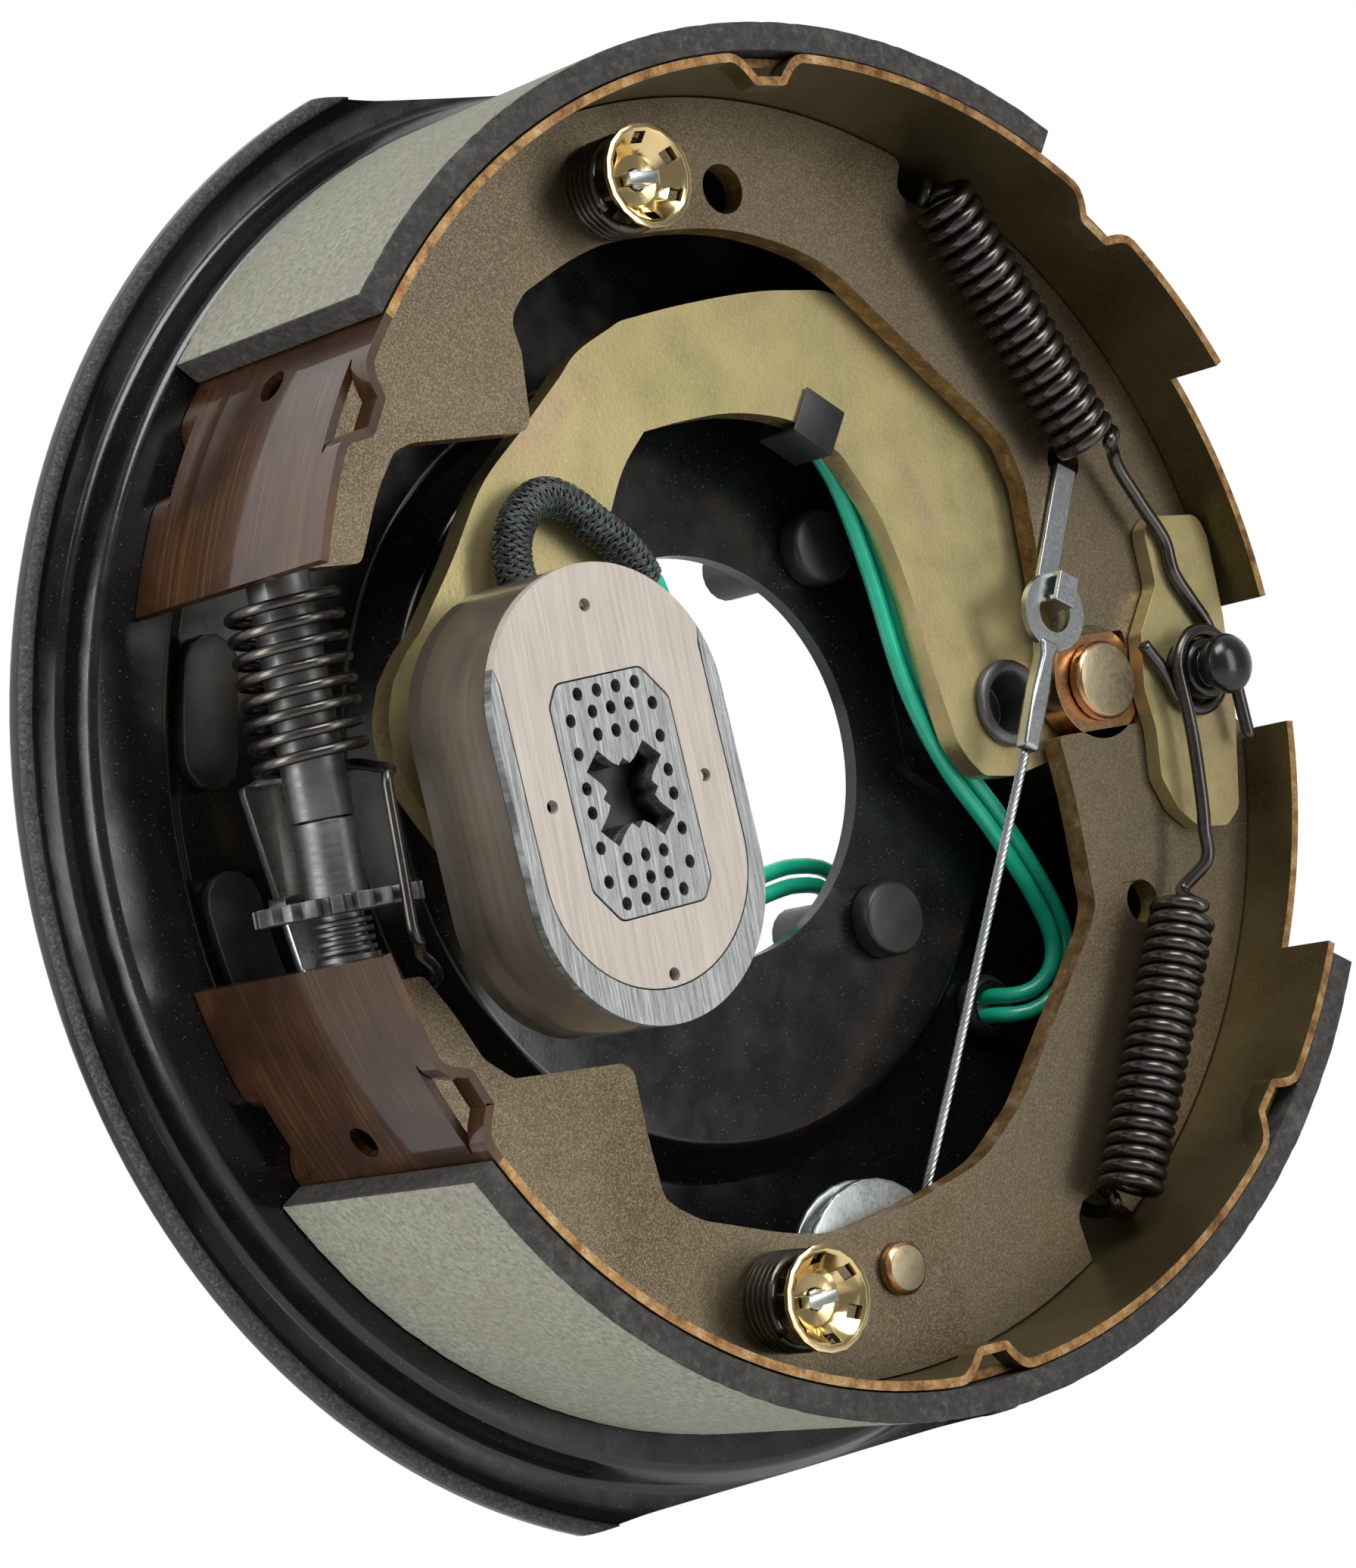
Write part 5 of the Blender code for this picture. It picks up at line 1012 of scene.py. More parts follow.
def lining(node, centre, span):
    """A lining: ground face, rough dark sides and ragged corners."""
    inner, outer = LINING_R - LINING_T, LINING_R
    across = 22
    section = [(outer, SHOE_FRONT + SHOE_W * k / across) for k in range(across + 1)]
    section += [(outer - LINING_T * k / 4, SHOE_BACK) for k in range(1, 5)]
    section += [(inner, SHOE_BACK - SHOE_W * k / 6) for k in range(1, 7)]
    section += [(inner + LINING_T * k / 4, SHOE_FRONT) for k in range(1, 4)]
    steps = math.ceil((span[1] - span[0]) / 0.8)
    rows = []
    for i in range(steps + 1):
        degrees = span[0] + (span[1] - span[0]) * i / steps
        row = []
        for radius, y in section:
            x, z = point(centre, radius, degrees)
            spot = Vector((x, y, z))
            rough = noise.noise(spot * 420.0)
            corner = min(abs(y - SHOE_FRONT), abs(y - SHOE_BACK)) < 0.0001
            ragged = 0.00035 if corner and radius > outer - 0.0001 else 0.00008
            inwards = abs(rough) * ragged
            x, z = point(centre, radius - inwards, degrees)
            shift = (0.00030 if corner else 0.0) * (0.5 + 0.5 * noise.noise(spot * 210.0))
            y += shift if y < (SHOE_FRONT + SHOE_BACK) / 2 else -shift
            row.append((x, y, z))
        rows.append(row)
    obj = skin(node, rows)
    stand_for(obj, node, M["lining"], SIDE)
    for poly in obj.data.polygons:
        poly.material_index = 0 if facing_out(poly, centre)[1] > 0.7 else 1
    soften(obj, 0.00025, 1, 50)


table("upper_shoe_table", UPPER, UPPER_TABLE, UPPER_CRIMPS, UPPER_HEEL, (143.2, 0.0290), 139.7)
table("lower_shoe_table", LOWER, LOWER_TABLE, LOWER_CRIMPS, LOWER_HEEL, (-152.0, 0.0310), 148.8)
lining("upper_lining", UPPER, UPPER_LINING)
lining("lower_lining", LOWER, LOWER_LINING)
for web in ("upper_shoe_web", "lower_shoe_web"):
    flat_piece(web, 0.0004, M["olive_zinc"], WEB_EDGE)
flat_piece("lever_arm", 0.0007, M["yellow_zinc"], ARM_EDGE)
flat_piece("drive_block", 0.0005, COPPER)


def guide_plate():
    """The plate on the post, with the waist and horns of the real one."""
    low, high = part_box("anchor_guide_plate")
    corners = [(0.1000, 0.0316), (0.1128, 0.0308), (0.1145, 0.0262), (0.1147, 0.0100), (0.1128, -0.0095)]
    corners += [(0.1087, -0.0280), (0.1046, -0.0311), (0.0966, -0.0304), (0.0919, -0.0262)]
    corners += [(0.0889, -0.0195), (0.0900, -0.0100), (0.0889, -0.0020), (0.0908, 0.0088)]
    corners += [(0.0975, 0.0180), (0.0971, 0.0290)]
    bore = circle(POST, POST_R + GAP, 48)
    plate = cut("guide", [rounded(corners, 0.0035, 5), bore], low[1], high[1])
    stand_for(plate, "anchor_guide_plate", M["yellow_zinc"], ARM_EDGE)
    soften(plate, 0.0004).material = 1


def anchor_post():
    """The post, with the flattened black head that keeps the springs on."""
    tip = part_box("anchor_post")[0][1]
    foot = PLATEAU_Y - GAP
    collar = foot - COLLAR_T
    angles = [math.radians(a) for a in range(0, 145, 9)]
    head_y = POST_TIP - HEAD_OUT
    profile = [(HEAD_R * math.sin(a), head_y - HEAD_H * math.cos(a)) for a in angles]
    profile += [
        (NECK_R, POST_TIP - 0.0006),
        (NECK_R + 0.0002, POST_TIP),
        (POST_R - COLLAR_EDGE, POST_TIP),
        (POST_R, POST_TIP + COLLAR_EDGE),
        (POST_R, collar),
        (COLLAR_R - COLLAR_EDGE, collar),
        (COLLAR_R, collar + COLLAR_EDGE),
        (COLLAR_R, foot),
        (POST_R, foot),
        (POST_R, GAP),
        (POST_R + PEEN_R, GAP),
        (POST_R + PEEN_TOP_R, PEEN_Y),
        (0.0, PEEN_Y),
    ]
    profile[0] = (0.0, max(profile[0][1], tip))
    post = turned("post", profile, POST, 64)
    stand_for(post, "anchor_post", M["black_paint"])
    soften(post, 0.0002, 2, 60)


guide_plate()
anchor_post()


# Magnet
def on_magnet(loop):
    """An outline, turned and placed as the magnet is."""
    c, s = math.cos(MAGNET_TURN), math.sin(MAGNET_TURN)
    return [(MAGNET[0] + x * c + z * s, MAGNET[1] - x * s + z * c) for x, z in loop]


def stadium(radius, straight, count=40):
    loop = arc((0.0, straight), radius, 0, 180, count) + arc((0.0, -straight), radius, 180, 360, count)
    return on_magnet(loop)


def core_line(half_x, half_z):
    """The core plate's outline, with uneven corners."""
    half = [(-half_x, -half_z + 0.0062), (-half_x + 0.0048, -half_z)]
    half += [(half_x - 0.0024, -half_z), (half_x, -half_z + 0.0037)]
    return rounded(half + [(-x, -z) for x, z in half], 0.0022)


def star_line():
    """The stepped cross of the socket, with a tooth between its arms."""
    loop = []
    for k in range(4):
        along = math.radians(45 + 90 * k)
        ux, uz = math.cos(along), math.sin(along)
        for reach, side in ((STAR_IN, -1), (STAR_OUT, -1), (STAR_OUT, 1), (STAR_IN, 1)):
            loop.append((ux * reach - uz * side * STAR_HALF, uz * reach + ux * side * STAR_HALF))
        for degrees, radius in ((76, 0.0052), (90, 0.0062), (104, 0.0052)):
            loop.append(point((0.0, 0.0), radius, degrees + 90 * k))
    return loop


def magnet_face():
    """Ring, pad and core plate, which lie in one plane, and the socket, whose near-black colour is painted
    shade in its recess.
    """
    front, back = MAGNET_FRONT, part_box("magnet_pole")[1][1]
    step_z = MAGNET_STEP_Z
    step_low = step_z - MAGNET_STEP_DROP
    step_x = math.sqrt(MAGNET_R**2 - (step_z - MAGNET_STRAIGHT) ** 2)
    top, bottom = (0.0, MAGNET_STRAIGHT), (0.0, -MAGNET_STRAIGHT)
    drop = PAD_R - PAD_DROP
    pole = [(-step_x, step_z)] + arc(top, MAGNET_R, 155, 180, 8) + arc(bottom, MAGNET_R, 180, 360, 60)
    pole += arc(top, MAGNET_R, 0, 25, 8) + [(step_x, step_z), (PAD_R + GAP, step_low)]
    pole += arc((0.0, drop), PAD_R + GAP, 0, -180, 48) + [(-PAD_R - GAP, step_low)]
    ring = cut("pole", [on_magnet(pole)], front, back)
    stand_for(ring, "magnet_pole", M["ground_steel"])
    pad = arc(top, MAGNET_R, 26, 154, 48) + [(-step_x, step_z + GAP), (-PAD_R, step_low)]
    pad += arc((0.0, drop), PAD_R, 180, 360, 48) + [(PAD_R, step_low), (step_x, step_z + GAP)]
    pins = [circle(spot, PAD_PIN_R, 20) for spot in PAD_PINS]
    loops = [pad, core_line(CORE_X + GAP, CORE_Z + GAP), *pins]
    facing = cut("pad", [on_magnet(loop) for loop in loops], front, back)
    stand_for(facing, "magnet_friction_pad", M["friction_pad"])
    holes = [(x * 0.0043, z) for z in (0.0184, -0.0181) for x in (-1.5, -0.5, 0.5, 1.5)]
    holes += [(x * 0.0041, z) for z in (0.0150, 0.0110, -0.0108, -0.0147) for x in (-1, 0, 1)]
    outer = (0.0142, 0.0084, 0.0024, -0.0018, -0.0079, -0.0138)
    holes += [(side * 0.0092, z) for side in (-1, 1) for z in outer]
    ring_line = circle((0.0, 0.0), CORE_HOLE_R, 14)
    ovals = [[(x + a, z + CORE_HOLE_STRETCH * b) for a, b in ring_line] for x, z in holes]
    rim, star = on_magnet(core_line(CORE_X, CORE_Z)), on_magnet(star_line())
    plate = cut("core", [rim, star, *(on_magnet(oval) for oval in ovals)], front, back)
    stand_for(plate, "magnet_core", M["ground_steel"])
    # The socket's walls and end are real; their near-black steel also paints the shade deep in the recess.
    deep = back + SOCKET_DEPTH
    socket = joined([cut("walls", [rim, star], back, deep), cut("end", [rim], deep, back + SOCKET_END)])
    ride_with(socket, "magnet_socket_painted_shade", "magnet_core", M["black_steel"])
    for piece in (ring, facing, plate):
        shade(piece, False)


magnet_face()


def magnet_case():
    """The clear case, open to the front, and the taped winding in it."""
    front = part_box("magnet_case")[0][1]
    case = cut("case", [stadium(MAGNET_R, MAGNET_STRAIGHT)], front, MAGNET_BACK)
    room = stadium(MAGNET_R - CASE_WALL, MAGNET_STRAIGHT)
    case = cutter(cut("room", [room], front - 0.001, MAGNET_BACK - CASE_WALL), case)
    stand_for(case, "magnet_case", M["smoky_resin"])
    soften(case, 0.0008, 4)
    rows = []
    for k in range(15):
        y = front + WINDING_START + WINDING_PITCH * k
        for inwards, on in ((WINDING_GROOVE, 0.0), (WINDING_RIDGE, 0.0003), (WINDING_RIDGE, 0.0006)):
            rows.append([(x, y + on, z) for x, z in stadium(MAGNET_R - inwards, MAGNET_STRAIGHT, 24)])
    wound = skin("magnet_winding", rows)
    for poly in wound.data.polygons:
        poly.use_smooth = len(poly.vertices) == 4
    ride_with(wound, "magnet_winding", "magnet_case", WINDING)


magnet_case()


# Link and ring of the wire rope
LINK_TOP = Vector((0.0801, 0.0396))
LINK_W, LINK_T = 0.0050, 0.0011
RING = Vector((0.0675, 0.0155))
RING_Y, RING_T = -0.0340, 0.0014
RING_R, RING_HOLE_R = 0.0076, 0.0040
HOOK_IN, HOOK_UP, HOOK_T = 0.0062, 0.0050, 0.0012
TOP_OUT, TOP_IN, TOP_DEEP = -0.0044, -0.0032, 0.0010
FERRULE_END = Vector((0.0540, -0.0098))


def cable_link():
    """A bent strip from the web's hole to the ring, which it hooks."""
    low = RING + (LINK_TOP - RING).normalized() * 0.0013
    along = (low - LINK_TOP).normalized()
    reach = (low - LINK_TOP).length
    back = WEB_FRONT - GAP
    front = back - LINK_T
    tab_back = RING_Y - RING_T - 0.0015
    tab_front = tab_back - LINK_T
    profile = [
        (TOP_OUT, front),
        (reach - HOOK_IN, front),
        (reach - HOOK_IN, tab_front),
        (reach, tab_front),
        (reach, back),
        (reach - HOOK_T, back),
        (reach - HOOK_T, tab_back),
        (reach - HOOK_UP, tab_back),
        (reach - HOOK_UP, back),
        (TOP_IN, back),
        (TOP_IN, WEB_BACK + TOP_DEEP),
        (TOP_OUT, WEB_BACK + TOP_DEEP),
    ]
    side = Vector((-along.y, along.x)) * LINK_W / 2
    rows = []
    for sign in (1, -1):
        spots = [(LINK_TOP + along * s + side * sign, y) for s, y in profile]
        rows.append([(spot.x, y, spot.y) for spot, y in spots])
    link = stand_for(skin("link", rows), "cable_link", M["bright_zinc"])
    soften(link, 0.00025, 2)


def cable_end():
    """The stamped ring, whose neck turns into the crimped ferrule."""
    along = (FERRULE_END - RING).normalized()
    side = Vector((-along.y, along.x))
    neck = RING + along * RING_R * 0.8
    eye = cut("eye", [circle(RING, RING_R, 64), circle(RING, RING_HOLE_R, 40)], RING_Y - RING_T, RING_Y)
    shape = [(0.0, 0.0026), (0.0035, 0.0017), (0.0100, 0.0022)]
    corners = [tuple(neck + along * a + side * b) for a, b in shape]
    corners += [tuple(FERRULE_END + side * 0.0019), tuple(FERRULE_END - side * 0.0019)]
    corners += [tuple(neck + along * a - side * b) for a, b in reversed(shape)]
    ferrule = cut("ferrule", [corners], RING_Y - 0.0021, RING_Y + 0.0012)
    ends = []
    for piece, width in ((eye, 0.0003), (ferrule, 0.0009)):
        soften(piece, width, 3)
        ends.append(mesh_of(piece))
    end = joined(ends)
    shade(end)
    stand_for(end, "cable_end", M["bright_zinc"])


cable_link()
cable_end()


# Springs
def round_post(y, start, end, count):
    radius = POST_R + GAP + COIL_WIRE_R
    return [(*point(POST, radius, start + (end - start) * k / count), y) for k in range(count + 1)]


def spring(node, route, radius):
    return stand_for(wires("spring", [route], radius), node, M["spring_steel"])


BEHIND_WEB = WEB_BACK + GAP + COIL_WIRE_R
TAIL_YS = (BEHIND_WEB, BEHIND_WEB, WEB_BACK - 0.0008, WEB_FRONT - 0.0010, COIL_Y + COIL_R * 0.86)


def return_spring(node, tail, start, end, turns, hook):
    """A spring from behind a web to the post, by places (x, z) and (x, z, y)."""
    route = [(x, y, z) for (x, z), y in zip(tail, TAIL_YS)]
    route += coil((start[0], COIL_Y, start[1]), (end[0], COIL_Y, end[1]), COIL_R, turns)
    route += [(x, y, z) for x, z, y in hook]
    spring(node, smooth_path(route, 0.0009), COIL_WIRE_R)


return_spring(
    "upper_return_spring",
    [(0.0500, 0.0935), (0.0535, 0.0990), (0.0573, 0.1015), (0.0580, 0.1018), (0.0570, 0.1000)],
    (0.0560, 0.0972),
    (0.0828, 0.0460),
    18.5,
    [
        (0.0893, 0.0455, COIL_Y + 0.0008),
        (0.0918, 0.0415, HOOK_BACK),
        (0.0962, 0.0338, HOOK_BACK),
        (0.1005, 0.0265, HOOK_BACK),
        (0.1013, 0.0200, HOOK_BACK),
        (0.1046, 0.0142, HOOK_BACK),
        (0.1080, 0.0085, HOOK_BACK),
        *round_post(HOOK_BACK, 15, -150, 12),
        (0.0936, 0.0006, HOOK_BACK),
        (0.0893, 0.0066, HOOK_BACK),
    ],
)
return_spring(
    "lower_return_spring",
    [(0.0530, -0.0905), (0.0540, -0.0960), (0.0550, -0.0986), (0.0552, -0.0990), (0.0549, -0.0975)],
    (0.0546, -0.0958),
    (0.0836, -0.0455),
    20.5,
    [
        (0.0870, -0.0420, COIL_Y + 0.0028),
        (0.0915, -0.0370, HOOK_FRONT - 0.0004),
        (0.0930, -0.0310, HOOK_FRONT),
        (0.0939, -0.0250, HOOK_FRONT),
        (0.0948, -0.0121, HOOK_FRONT),
        *round_post(HOOK_FRONT, 184, 10, 12),
        (0.1098, -0.0060, HOOK_FRONT),
        (0.1104, -0.0148, HOOK_FRONT),
    ],
)

HOLD_WIRE_R = 0.00105
for label, spot in (("upper", HOLD_UP), ("lower", HOLD_LOW)):
    low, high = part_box(f"{label}_hold_down_spring")
    start = (spot[0], high[1] - HOLD_WIRE_R, spot[1])
    end = (spot[0], low[1] + HOLD_WIRE_R, spot[1])
    route = coil(start, end, (high[0] - low[0]) / 2 - HOLD_WIRE_R, 4.6, 28, (1, 0, 0))
    spring(f"{label}_hold_down_spring", route, HOLD_WIRE_R)

ARM_WIRE_Y = ADJ_Y - STAR_R - 0.0014
adjuster_route = [
    *coil((ADJ_X, ADJ_Y, 0.0372), (ADJ_X, ADJ_Y, 0.0075), 0.0094, 8, 24, (1, 0, 0)),
    (ADJ_X + 0.0098, ADJ_Y - 0.0045, 0.0063),
    (ADJ_X + 0.0086, ADJ_Y - 0.0100, 0.0053),
    (ADJ_X + 0.0040, ARM_WIRE_Y + 0.0006, 0.0043),
    (ADJ_X + 0.0030, ARM_WIRE_Y, 0.0025),
    (ADJ_X + 0.0028, ARM_WIRE_Y, -0.0100),
    (ADJ_X + 0.0026, ARM_WIRE_Y, -0.0222),
    (ADJ_X + 0.0040, ARM_WIRE_Y + 0.0008, -0.0245),
    (-0.0985, -0.0385, -0.0265),
    (-0.0930, -0.0335, -0.0285),
    (-0.0896, -0.0300, -0.0308),
    (-0.0888, -0.0255, -0.0325),
    (-0.0905, WEB_BACK + GAP + 0.0012, -0.0345),
]
WIRE_R = 0.0010
spring("adjuster_spring", smooth_path(adjuster_route, 0.0010), WIRE_R)
magnet_turns = coil(
    (MAGNET[0], MAGNET_BACK + GAP + WIRE_R, MAGNET[1]),
    (MAGNET[0], ARM_FRONT - GAP - WIRE_R, MAGNET[1]),
    0.0080,
    3,
    24,
    (1, 0, 0),
)
magnet_spring = spring("magnet_spring", magnet_turns, WIRE_R)
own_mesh(magnet_spring)


# Braided sleeve
STRAND_R = 0.00026


def braided(path, radius):
    """Two crossing sets of strands that pass over and under each other."""
    groups, filaments, pitch = 8, 3, 0.0115
    spots = frames(path)
    length = [0.0]
    for a, b in zip(path, path[1:]):
        length.append(length[-1] + (b - a).length)
    strands = []
    for sense in (1, -1):
        for group in range(groups):
            for k in range(filaments):
                start = 2 * math.pi * group / groups + (k - (filaments - 1) / 2) * 0.16
                strand = []
                for (centre, u, v), s in zip(spots, length):
                    turn = 2 * math.pi * s / pitch
                    angle = start + sense * turn
                    over = 0.00028 * sense * math.cos(groups * turn)
                    r = radius - STRAND_R - 0.00030 + over
                    strand.append(centre + (u * math.cos(angle) + v * math.sin(angle)) * r)
                strands.append(strand)
    return strands


sleeve_route = [
    (-0.0520, -0.0305, 0.0265),
    (-0.0558, -0.0300, 0.0335),
    (-0.0560, -0.0292, 0.0390),
    (-0.0543, -0.0288, 0.0436),
    (-0.0505, -0.0284, 0.0478),
    (-0.0459, -0.0284, 0.0496),
    (-0.0411, -0.0284, 0.0480),
    (-0.0358, -0.0284, 0.0439),
    (-0.0310, -0.0282, 0.0398),
    (-0.0272, -0.0275, 0.0360),
    (-0.0246, -0.0262, 0.0330),
]
sleeve_path = smooth_path(sleeve_route, 0.00035)
sleeve = wires("sleeve", braided(sleeve_path, SLEEVE_R), STRAND_R, 0)
# A near-black tube inside the braid, seen through its gaps: painted shade for the hollow of the sleeve.
core = wires("core", [smooth_path(sleeve_route, 0.0012)], SLEEVE_R - 0.0010, 4)
shade(sleeve)
for piece, name, mat in ((sleeve, "lead_sleeve_fine", M["braid"]), (core, "sleeve_shade_core", M["rubber"])):
    piece.name = name
    piece.data.materials.clear()
    piece.data.materials.append(mat)
    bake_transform(piece, "magnet", "arm", sleeve_route[1], sleeve_route[5])
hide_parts("lead_sleeve")

# Wire rope of the adjuster
GUIDE = (0.0010, -0.0995)
GROOVE_Y = -0.0223
GROOVE_RUN = 0.0132 + GAP + CABLE_R
BLADE_BACK = -0.0109
EYE = (-0.0770, -0.0490)
way = (FERRULE_END - RING).normalized()
rope_start = Vector((FERRULE_END.x, RING_Y, FERRULE_END.y)) + Vector((way.x, 0, way.y)) * GAP
onto = point(GUIDE, GROOVE_RUN, 22)
rope_route = [rope_start.lerp(Vector((onto[0], GROOVE_Y, onto[1])), t) for t in (0.0, 0.33, 0.66)]
round_guide = [point(GUIDE, GROOVE_RUN, 22 - 12 * k) for k in range(13)]
rope_route += [Vector((x, GROOVE_Y, z)) for x, z in round_guide]
rope_last = rope_route[-1]
rope_route += [rope_last.lerp(Vector((EYE[0], GROOVE_Y, EYE[1])), t) for t in (0.35, 0.7)]
rope_route += [
    (EYE[0] + 0.0015, GROOVE_Y + 0.0010, EYE[1] - 0.0010),
    (EYE[0], GROOVE_Y + 0.0035, EYE[1]),
    (EYE[0], BLADE_BACK + 0.0020, EYE[1]),
]
ROPE_STEP, ROPE_LAY = 0.0006, 0.0075
rope_frames = frames(smooth_path(rope_route, ROPE_STEP))
strands = []
for k in range(6):
    strand = []
    for i, (centre, u, v) in enumerate(rope_frames):
        angle = 2 * math.pi * (k / 6 + i * ROPE_STEP / ROPE_LAY)
        strand.append(centre + (u * math.cos(angle) + v * math.sin(angle)) * CABLE_R * 0.62)
    strands.append(strand)
strands.append([f[0] for f in rope_frames])
rope = wires("rope", strands, CABLE_R * 0.37, 1)
shade(rope)
stand_for(rope, "adjuster_cable", M["bright_zinc"])

# Leads from the sleeve to the grommet
LEAD_Y = -0.0187 + GAP + LEAD_R + 0.0002
sleeve_end = Vector(sleeve_route[-1])
sleeve_way = (sleeve_path[-1] - sleeve_path[-8]).normalized()
lead_route = [
    sleeve_end + sleeve_way * 2 * GAP,
    sleeve_end + sleeve_way * 0.0050,
    (-0.0260, -0.0262, 0.0245),
    (-0.0298, -0.0262, 0.0175),
    (-0.0325, -0.0225, 0.0125),
    (-0.0338, -0.0175, 0.0105),
    (-0.0385, -0.0148, 0.0130),
    (-0.0415, -0.0148, 0.0250),
    (-0.0420, -0.0155, 0.0380),
    (-0.0390, LEAD_Y, 0.0520),
    (-0.0240, LEAD_Y, 0.0675),
    (-0.0040, LEAD_Y, 0.0735),
    (0.0140, LEAD_Y, 0.0695),
    (0.0225, LEAD_Y, 0.0650),
    (0.0292, LEAD_Y, 0.0598),
    (0.0338, LEAD_Y, 0.0535),
    (0.0375, LEAD_Y, 0.0450),
    (0.0415, LEAD_Y + 0.0005, 0.0290),
    (0.0448, LEAD_Y + 0.0005, 0.0080),
    (0.0515, LEAD_Y + 0.0010, -0.0085),
    (0.0625, -0.0135, -0.0226),
    (0.0730, -0.0105, -0.0368),
    (0.0778, -0.0085, -0.0465),
    (0.0768, -0.0070, -0.0535),
    (0.0722, -0.0052, -0.0574),
    (0.0680, -0.0030, -0.0580),
    (GROMMET[0], 0.0005, GROMMET[1]),
    (GROMMET[0], FLOOR_Y + 0.0012, GROMMET[1]),
]
lead_path = smooth_path(lead_route, 0.0025)
FIRST_SIDE = (0.3, 0.0, -1.0)
for i, offset in enumerate((-1, 1), 1):
    path = beside(lead_path, FIRST_SIDE, offset * (LEAD_R + GAP))
    stand_for(wires("lead", [path], LEAD_R), f"lead_{i}", M["green_lead"])

# Free tails of the leads: through the grommet and into a coil behind the plate
TAIL_Y = 0.0160
COIL_AT = (-0.0620, -0.0600)
COIL_OUT = 0.0260
COIL_START, COIL_TURNS, COIL_INWARDS = 84, 1.45, 0.0052
tail_route = [
    (GROMMET[0], FLOOR_Y + 0.0012 + GAP, GROMMET[1]),
    (GROMMET[0], REAR_Y + 0.0024, GROMMET[1]),
    (0.0640, TAIL_Y - 0.0012, -0.0550),
    (0.0600, TAIL_Y, -0.0500),
    (0.0520, TAIL_Y, -0.0385),
    (0.0430, TAIL_Y, -0.0275),
    (0.0350, TAIL_Y, -0.0250),
    (0.0270, TAIL_Y, -0.0255),
    (0.0140, TAIL_Y, -0.0280),
    (-0.0060, TAIL_Y, -0.0315),
    (-0.0260, TAIL_Y - 0.0010, -0.0345),
    (-0.0430, TAIL_Y - 0.0025, -0.0355),
]
coil_low, coil_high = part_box("lead_coil")
layers = (coil_low[1] + LEAD_R + 0.0001, coil_high[1] - LEAD_R - 0.0001)


def free_lead(offset, layer):
    """One lead's free end: its tail, and a flat spiral in one layer."""
    tail = beside(smooth_path(tail_route, 0.0030), FIRST_SIDE, offset * (LEAD_R + GAP))
    for k in range(37):
        t = k / 36
        radius = COIL_OUT - LEAD_R - 0.0003 - COIL_INWARDS * t
        x, z = point(COIL_AT, radius, COIL_START + 360 * COIL_TURNS * t)
        tail.append(Vector((x, layer, z)))
    return smooth_path(tail, 0.0022)


for i, (offset, layer) in enumerate(((-1, layers[0]), (1, layers[1])), 1):
    path = free_lead(offset, layer)
    tail = wires("tail", [path], LEAD_R)
    stand_for(tail, f"lead_tail_{i}", M["green_lead"], others=("lead_coil",) if i == 1 else ())

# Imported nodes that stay, with rounded edges and their materials
EDGE_WIDTH = {
    "slot_plug_1": 0.0011,
    "slot_plug_2": 0.0011,
    "grommet": 0.0006,
    "upper_hold_down_cup": 0.0002,
    "lower_hold_down_cup": 0.0002,
}
for item in frame["record"]["subparts"]:
    obj = NODES[item["node"]]
    obj.data.materials.clear()
    if item["node"] in ("drive_pin", "cable_guide_rivet"):
        obj.data.materials.append(BRASS)
        obj.data.materials.append(COPPER)
        for poly in obj.data.polygons:
            poly.material_index = 0 if poly.normal.y < -0.9 else 1
    else:
        obj.data.materials.append(M[item["material_slot"]])
    weld = obj.modifiers.new("weld", "WELD")
    weld.merge_threshold = 0.000005
    soften(obj, EDGE_WIDTH.get(item["node"], 0.0003))

# Camera
camera_data = bpy.data.cameras.new("camera")
camera = new_object("camera", camera_data)
camera_data.sensor_width = 36.0
camera_data.lens = 106.76
camera_data.shift_x = 0.0011
camera_data.shift_y = -0.0145
camera_data.clip_start = 0.05
camera_data.clip_end = 20.0
right = Vector((0.75853, -0.62393, -0.18800))
up = Vector((0.12348, -0.14565, 0.98160))
back = Vector((-0.63983, -0.76779, -0.03344))
camera.matrix_world = Matrix(
    (
        (right.x, up.x, back.x, -0.56435),
        (right.y, up.y, back.y, -0.67326),
        (right.z, up.z, back.z, -0.02897),
        (0.0, 0.0, 0.0, 1.0),
    )
)
bpy.context.scene.camera = camera


# Light
def area(name, place, size, power):
    data = bpy.data.lights.new(name, "AREA")
    data.shape = "RECTANGLE"
    data.size, data.size_y = size
    data.energy = power
    lamp = new_object(name, data)
    lamp.location = place
    lamp.rotation_euler = (-Vector(place)).to_track_quat("-Z", "Y").to_euler()


area("key", (-0.2, -1.2, 1.4), (1.0, 0.8), 26)
area("front", (0.55, -1.45, 0.15), (0.5, 1.3), 9)
area("left", (-1.5, 0.05, 0.2), (0.5, 1.8), 20)
area("low", (-0.9, -0.9, -1.1), (0.8, 0.6), 5)


WHITE = (1.0, 1.0, 1.0, 1.0)
FRONT_TO_BACK, DIM_TO_BRIGHT = (-0.55, 0.15), (0.22, 1.0)
ROOM_LIGHT = 0.42


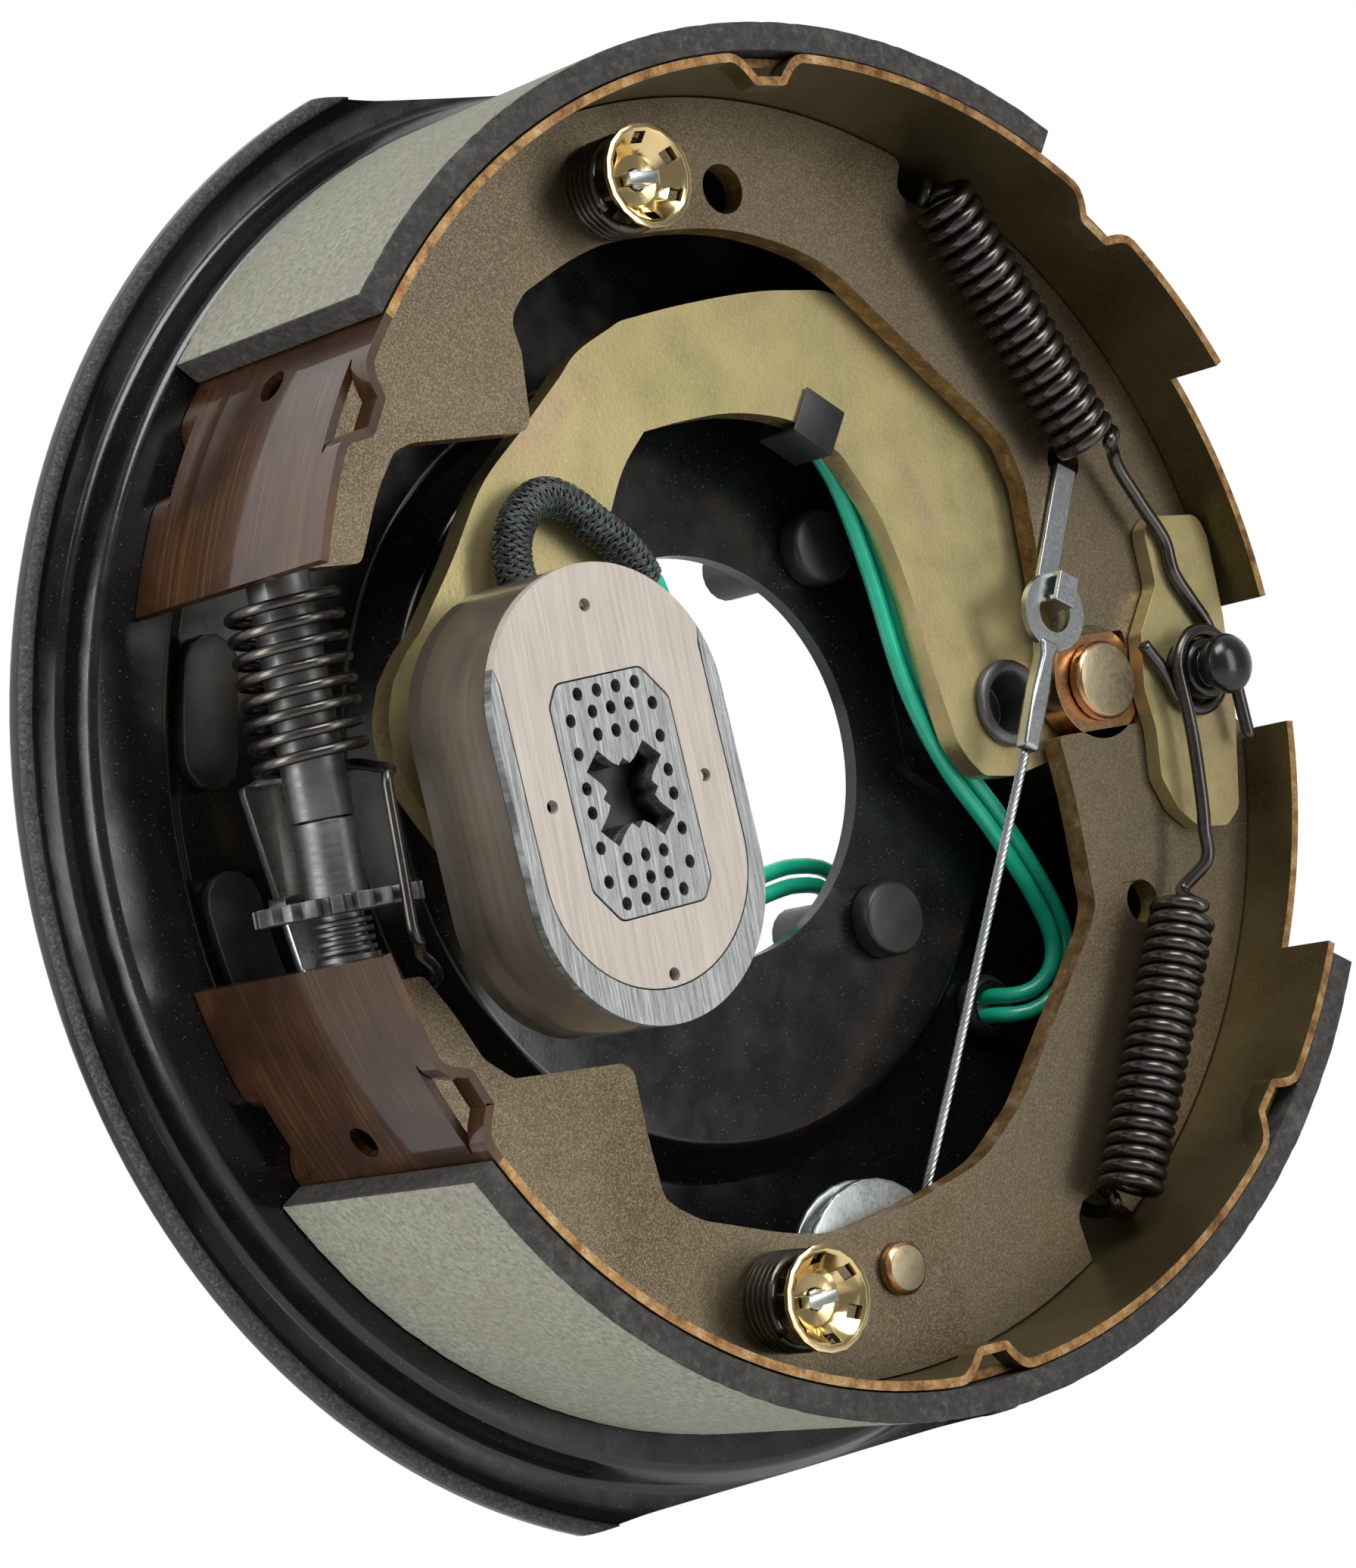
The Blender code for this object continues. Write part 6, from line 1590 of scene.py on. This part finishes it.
def either(tree, a, b):
    return linked(tree, "ShaderNodeMath", a, b, operation="MAXIMUM").outputs[0]


def background():
    """White behind the object, and a dimmer room in front of it."""
    world = bpy.data.worlds.new("studio")
    bpy.context.scene.world = world
    world.use_nodes = True
    tree = world.node_tree
    tree.nodes.clear()
    path = linked(tree, "ShaderNodeLightPath").outputs
    way_out = linked(tree, "ShaderNodeTexCoord").outputs["Generated"]
    split = linked(tree, "ShaderNodeSeparateXYZ", way_out).outputs
    depth = linked(tree, "ShaderNodeMapRange", split["Y"], *FRONT_TO_BACK, *DIM_TO_BRIGHT).outputs["Result"]

    def light(strength):
        return linked(tree, "ShaderNodeBackground", WHITE, strength).outputs[0]

    def choose(amount, a, b):
        return linked(tree, "ShaderNodeMixShader", amount, a, b).outputs[0]

    seen = either(tree, path["Is Glossy Ray"], path["Is Transmission Ray"])
    shown = choose(seen, light(ROOM_LIGHT), light(depth))
    linked(tree, "ShaderNodeOutputWorld", choose(path["Is Camera Ray"], shown, light(1.0)))


FLOOR_SIZE, FLOOR_Z = 6.0, -0.62


def floor():
    """A plain pale floor, which the held object hangs clear of."""
    bpy.ops.mesh.primitive_plane_add(size=FLOOR_SIZE, location=(0.0, 0.0, FLOOR_Z))
    obj = bpy.context.object
    obj.name = "floor"
    mat = bpy.data.materials.new("pale floor")
    mat.use_nodes = True
    tree = mat.node_tree
    shader = tree.nodes["Principled BSDF"]
    shader.inputs["Base Color"].default_value = (0.8, 0.8, 0.8, 1.0)
    shader.inputs["Roughness"].default_value = 0.9
    white = linked(tree, "ShaderNodeEmission", WHITE, 1.0)
    path = linked(tree, "ShaderNodeLightPath").outputs
    seen = either(tree, path["Is Camera Ray"], path["Is Transmission Ray"])
    chosen = linked(tree, "ShaderNodeMixShader", seen, shader.outputs[0], white.outputs[0])
    tree.links.new(chosen.outputs[0], tree.nodes["Material Output"].inputs["Surface"])
    obj.data.materials.append(mat)
    obj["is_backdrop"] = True


background()
floor()
bpy.context.scene.view_settings.view_transform = "Standard"

low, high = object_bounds()
